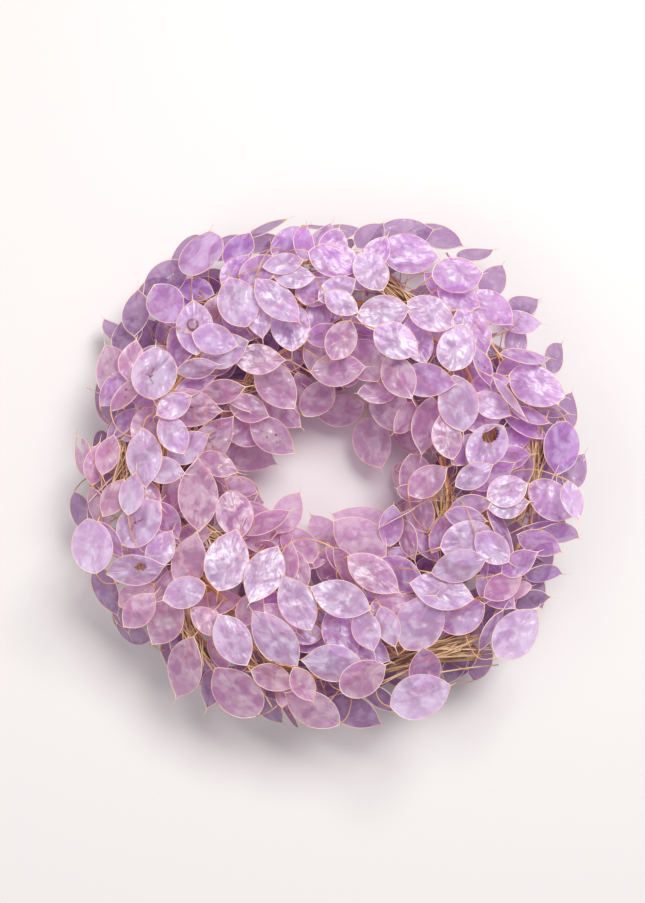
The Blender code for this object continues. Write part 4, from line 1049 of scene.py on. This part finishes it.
@dataclass
class Bundle:
    """A bundle of bare cut stalks, pressed together along the ring."""

    number: int
    first: Triple
    middle: Triple
    last: Triple
    width: float
    sticks: int
    look: Material
    stick: float = 2.2
    spacing: float = 0.68
    row_drop: float = 0.58
    waist: float = 0.12
    end_sway: float = 0.2
    strands: int = 3
    strand_radii: Span = (0.3, 0.75)
    stray: float = 6.0
    loose: int = 10
    loose_radii: Span = (0.3, 0.5)
    loose_sway: float = 8.0
    loose_sag: float = 0.6
    straws: list[tuple] = field(default_factory=list)
    straw_rise: float = 5.0
    straw_sag: float = 1.0
    straw_radii: Span = (0.55, 0.38)
    seed: int = 9

    def __post_init__(self) -> None:
        """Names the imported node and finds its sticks' runs, three points each, moved to where the node lies."""
        self.node = f"stalk_bundle_{self.number:02d}"
        rng = np.random.default_rng(self.seed + self.number - 1)
        start, mid, end = (np.array(point) for point in (self.first, self.middle, self.last))
        side = unit(np.cross(end - start, UP))
        spacing = self.stick * self.spacing
        per_row = max(2, round(self.width / spacing))
        runs = []
        for number in range(self.sticks):
            row, column = divmod(number, per_row)
            offset = (column - (per_row - 1) / 2 + 0.5 * (row % 2)) * spacing
            shift = side * offset + np.array((0.0, 0.0, -row * self.stick * self.row_drop))
            trim = rng.uniform(0.0, self.waist, size=2)
            head, tail = start + (mid - start) * trim[0], end + (mid - end) * trim[1]
            runs.append(np.array((head + shift, mid + shift - side * offset * self.waist,
                                  tail + shift + side * rng.uniform(-self.end_sway, self.end_sway))))
        points = np.concatenate(runs)
        low, high = (np.array(corner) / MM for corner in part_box(self.node))
        seat = (low + high) / 2 - (points.min(axis=0) + points.max(axis=0)) / 2
        self.runs = [run + seat for run in runs]
        self.rng = np.random.default_rng(500 + self.number)
        self.draft = Draft()

    def build(self) -> None:
        """Builds the bundle: each packed stick is a few thinner stalks lying side by side."""
        rng = self.rng
        for run in self.runs:
            # Each strand winds a little round its stick, strays from it towards both ends and has its own length
            path = smooth_path(run, 12)
            count = len(path)
            along = unit(run[2] - run[0])
            across = unit(np.cross(along, UP))
            up = np.cross(across, along)
            share = np.linspace(-1.0, 1.0, count)[:, None]
            for strand in range(self.strands):
                turn = rng.uniform(0.0, FULL_TURN)
                radius = rng.uniform(*self.strand_radii)
                offset = rng.uniform(0.3, 0.9) * (self.stick / 2)
                spin = np.linspace(turn, turn + rng.uniform(-2.0, 2.0), count)
                cut = [round(rng.uniform(0.0, 0.2) * count) for _ in range(2)]
                kept = slice(cut[0], count - cut[1])
                astray = rng.uniform(-self.stray, self.stray) * across + rng.uniform(-0.5, 0.9) * up
                shifted = (path + offset * (np.cos(spin)[:, None] * across + np.sin(spin)[:, None] * up)
                           + share * astray)
                wobble = 1 + 0.15 * np.sin(np.linspace(0, rng.uniform(6, 18), count) + turn)
                self.draft.tube(shifted[kept], (radius * wobble)[kept], 7, 0, 10 * strand + turn,
                                tone=rng.uniform(0.0, 1.0) ** 1.6)
        self.build_loose()
        self.draft.piece(f"bare_stalks_{self.number:02d}", [self.look], self.node, Slot.STALKS)

    def lay(self, ends: tuple[np.ndarray, ...], middle: np.ndarray, radii: Span, aged: float) -> None:
        """Lays one straw.

        Args:
            ends: its first and last point.
            middle: the point halfway.
            radii: its radii at both ends.
            aged: the darkest that it may be, 0 to 1.
        """
        path = smooth_path(np.array((ends[0], middle, ends[1])), 6)
        seed, tone = self.rng.uniform(0, 40), self.rng.uniform(0.0, aged)
        self.draft.tube(path, np.linspace(*radii, len(path)), 6, 0, seed, tone=tone)

    def build_loose(self) -> None:
        """Builds the straws that lie loosely across the bundle, and the single ones round it."""
        rng, sag = self.rng, self.loose_sag * UP
        top = [run for run in self.runs if run[1][2] > self.runs[0][1][2] - 0.5]
        for _ in range(self.loose):
            run = top[rng.integers(len(top))]
            along = run[2] - run[0]
            across = unit(np.cross(along, UP))
            middle = run[1] + along * rng.uniform(-0.25, 0.25) + UP * self.stick * rng.uniform(0.55, 0.9)
            heading = along * rng.uniform(0.3, 0.6) + across * rng.uniform(-self.loose_sway, self.loose_sway)
            radius = rng.uniform(*self.loose_radii)
            self.lay((middle - heading - sag, middle + heading - sag), middle, (radius, radius), 0.3)
        height = self.middle[2] + self.straw_rise - self.straw_sag
        for straw in self.straws:
            ends = tuple(np.array((*end, height)) for end in straw)
            middle = sum(ends) / 2 + (*rng.uniform(-0.6, 0.6, size=2), self.straw_sag)
            self.lay(ends, middle, self.straw_radii, 0.35)


# Single straws that show between the pods: both ends, as the photo shows them at the reading height
STRAWS = (
    ((-46, -111), (-26, -137)), ((-46, -118), (-30, -144)), ((-84, -86), (-75, -104)), ((-81, -85), (-74, -102)),
    ((2, -142), (9, -134)), ((-108, 23), (-103, 34)), ((-129, -14), (-118, 2)), ((-135, -3), (-134, -18)),
    ((-54, 43), (-49, 51)), ((-84, 20), (-77, 25)), ((-73, -33), (-68, -43)), ((-101, -66), (-93, -58)),
    ((105, -4), (112, -29)), ((124, -2), (124, 17)), ((76, -12), (77, -26)), ((105, -38), (120, -29)),
    ((64, -114), (104, -111)), ((62, -124), (103, -118)),
)
# Bundles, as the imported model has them: first, middle and last point, width and number of sticks
BUNDLES = (
    ((33, -119, 57), (64, -111, 60), (97, -103, 58), 15.0, 11),
    ((26, 117, 60), (41, 106, 62), (53, 95, 60), 13.0, 8),
    ((-131, 16, 48), (-128, 0, 54), (-130, -22, 50), 14.0, 8),
    ((126, 20, 56), (123, -4, 60), (112, -38, 56), 9.0, 6),
    ((68, -14, 50), (66, -30, 52), (56, -50, 48), 9.0, 5),
    ((-13, 77, 58), (2, 77, 59), (20, 79, 56), 8.0, 5),
    ((-60, 40, 50), (-48, 47, 53), (-36, 55, 50), 8.0, 5),
    ((-80, 108, 56), (-66, 110, 60), (-50, 110, 58), 10.0, 6),
    ((-80, -30, 54), (-71, -40, 58), (-62, -50, 57), 9.0, 5),
    ((-82, -86, 56), (-75, -102, 60), (-62, -118, 56), 9.0, 6),
    ((-46, -114, 58), (-33, -126, 60), (-20, -138, 56), 9.0, 6),
)


@dataclass
class Core:
    """The wire hoop and the binding wire wound round it and its stalks."""

    layout: HoopLayout
    looks: dict[object, Material]
    hoop_step: float = 3.0
    turns: int = 12
    unwound: float = 2 / 6
    wire: float = 1.0
    offset: float = 6.0
    start: float = -1.9
    points_a_turn: int = 30

    def build_hoop(self) -> None:
        """Builds the hoop."""
        path = np.array([self.layout.spot(angle, 0.0, 0.0) for angle in np.arange(0.0, 360.0, self.hoop_step)])
        draft = Draft()
        draft.tube(path, np.full(len(path), self.layout.wire / 2), 12, 0, flat=UP)
        draft.piece("galvanised_hoop", [self.looks[STEEL]], "wire_hoop", Slot.HOOP)

    def build_binding(self) -> None:
        """Builds the binding wire."""
        path = []
        for step in range(round((self.turns - self.unwound) * self.points_a_turn) + 1):
            turn = step / self.points_a_turn
            lean = self.layout.first_lean + turn * 360.0
            path.append(self.layout.spot(self.start + turn * 360.0 / self.turns, self.offset, lean))
        draft = Draft()
        draft.tube(np.array(path), np.full(len(path), self.wire / 2), 8, 0)
        draft.piece("lacquered_binding_wire", [self.looks[LACQUER]], "binding_wire", Slot.BINDING)


@dataclass
class Studio:
    """A pale paper floor, soft daylight-like lamps and the camera over the wreath; metres and watts."""

    key: tuple[str, Triple, float, float] = ("soft_key", (0.45, 0.6, 1.4), 0.7, 27.0)
    fill: tuple[str, Triple, float, float] = ("soft_fill", (-0.9, -0.5, 1.1), 1.0, 7.0)
    lamp_white: str = "FCFCFF"
    room_white: str = "F6F4F6"
    room_light: float = 0.4
    floor_half: float = 20.0
    looking: Triple = (-0.00786, 0.11377, -0.99348)
    up: Triple = (-0.00757, 0.99347, 0.11383)
    focal_pixels: float = 1500.0
    frame_height: float = 903.0
    sensor: float = 36.0

    def build(self) -> None:
        """Builds floor, lamps, world and camera."""
        self.build_floor()
        self.build_lamp(*self.key)
        self.build_lamp(*self.fill)
        world = bpy.data.worlds.new("soft_room")
        world.use_nodes = True
        backdrop = world.node_tree.nodes["Background"]
        backdrop.inputs["Color"].default_value = linear(self.room_white)
        backdrop.inputs["Strength"].default_value = self.room_light
        bpy.context.scene.world = world
        self.build_camera()

    def build_floor(self) -> None:
        """Builds the floor."""
        shape = bmesh.new()
        bmesh.ops.create_grid(shape, x_segments=8, y_segments=8, size=self.floor_half)
        mesh = bpy.data.meshes.new("paper_floor")
        shape.to_mesh(mesh)
        shape.free()
        mesh.materials.append(PAPER.material())
        show("paper_floor", mesh)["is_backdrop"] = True

    def build_lamp(self, name: str, place: Triple, size: float, power: float) -> None:
        """Builds one soft square lamp that points at the wreath.

        Args:
            name: its name.
            place: where it hangs.
            size: its side.
            power: its power.
        """
        lamp = bpy.data.lights.new(name, "AREA")
        lamp.size = size
        lamp.energy = power
        lamp.color = linear(self.lamp_white)[:3]
        hung = show(name, lamp)
        hung.location = place
        hung.rotation_euler = (-Vector(place)).to_track_quat("-Z", "Y").to_euler()

    def build_camera(self) -> None:
        """Builds the camera from its place, its view direction and its focal length in the photo's pixels."""
        lens = bpy.data.cameras.new("camera")
        lens.sensor_width = self.sensor
        lens.lens = self.focal_pixels * self.sensor / self.frame_height
        lens.clip_start = 0.01
        camera = show("camera", lens)
        back = -Vector(self.looking).normalized()
        right = Vector(self.up).cross(back).normalized()
        rows = Matrix((right, back.cross(right), back)).transposed().to_4x4()
        camera.matrix_world = Matrix.Translation(EYE) @ rows
        bpy.context.scene.camera = camera


@dataclass
class Wreath:
    """The whole wreath, with the heights and radii where its film's tone changes: dye, painted shade, painted light.
    """

    layout: HoopLayout = field(default_factory=HoopLayout)
    # Heights and radii in millimetres: the highest pods are painted light; the lowest and low outer ones get painted
    # shade in dusk, lower ones painted shade in violet
    painted_light_over: float = 78.0
    painted_shade_under: float = 20.0
    painted_shade_beyond: float = 132.0
    mauve_within: float = 74.0
    painted_shade_violet_under: float = 52.0

    def seen_at(self, pod: SeedPod) -> np.ndarray:
        """Where the photo's eye sees a pod on the plane at reading height, as x and y."""
        eye = np.array(EYE) / MM
        return (eye + (pod.centre - eye) * (READING_HEIGHT - eye[2]) / (pod.centre[2] - eye[2]))[:2]

    def choose_tone(self, pod: SeedPod) -> Tone:
        """A pod's film tone: painted light on the highest, painted shade on low and outer ones, dye elsewhere.

        Args:
            pod: the pod.

        Returns:
            Its tone.
        """
        rng = np.random.default_rng(7000 + pod.number)
        x, y, z = pod.centre
        radius = math.hypot(x, y)
        # Painted light: the highest pods get the palest film
        if z > self.painted_light_over:
            return Tone.PALE_PAINTED_LIGHT
        # Painted shade: the lowest pods, and low ones far out on the ring, get the dark dusk film
        if radius > self.painted_shade_beyond and z < self.painted_shade_violet_under or z < self.painted_shade_under:
            return Tone.DUSK_PAINTED_SHADE
        if radius < self.mauve_within:
            return Tone.MAUVE
        # Rosier towards the photo's lower left
        if 0.35 - 0.0025 * (x + y) + rng.normal() * 0.22 > 0.55:
            return Tone.ROSE
        # Painted shade: pods below about 52 mm get the darker violet film, higher ones lilac
        return Tone.VIOLET_PAINTED_SHADE if z < self.painted_shade_violet_under + 8 * rng.normal() else Tone.LILAC

    def build(self) -> None:
        """Builds every piece in order."""
        finishes = [tone.value for tone in Tone] + [RIM, STEM, STRAW, STEEL, LACQUER]
        made = {finish: finish.material() for finish in finishes}
        looks = {**made, **{tone: made[tone.value] for tone in Tone}}
        core = Core(self.layout, looks)
        core.build_hoop()
        core.build_binding()
        bundles = [Bundle(number, *shape, looks[STRAW]) for number, shape in enumerate(BUNDLES, start=1)]
        for straw in STRAWS:
            spot = np.mean(straw, axis=0)
            min(bundles, key=lambda one: float(norm(spot - one.middle[:2]))).straws.append(straw)
        for bundle in bundles:
            bundle.build()
        sprays = [Spray(index, self.layout, looks) for index in range(self.layout.plants)]
        pods = [pod for spray in sprays for pod in spray.pods]
        for pod in pods:
            pod.tone = self.choose_tone(pod)
        for spot, flaw in FLAWS:
            whole = [pod for pod in pods if pod.flaw is Flaw.NONE]
            # A high pod hides the ones under it, so height counts for it
            gaps = [norm(self.seen_at(pod) - spot) - 0.3 * pod.centre[2] for pod in whole]
            whole[int(np.argmin(gaps))].flaw = flaw
        read = len(pods)
        for spray in sprays:
            spray.build(pods)
        LOG.info("%d pods and %d small late ones on %d sprays", read, len(pods) - read, len(sprays))


def corners() -> list[list[float]]:
    """The shown object's box as two plain lists."""
    return [[float(value) for value in corner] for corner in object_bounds()]


def main() -> None:
    """Builds the wreath and its studio."""
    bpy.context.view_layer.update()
    Wreath().build()
    Studio().build()
    bpy.context.scene.view_settings.view_transform = "Standard"
    bpy.context.view_layer.update()
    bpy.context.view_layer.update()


if __name__ == "__main__":
    main()
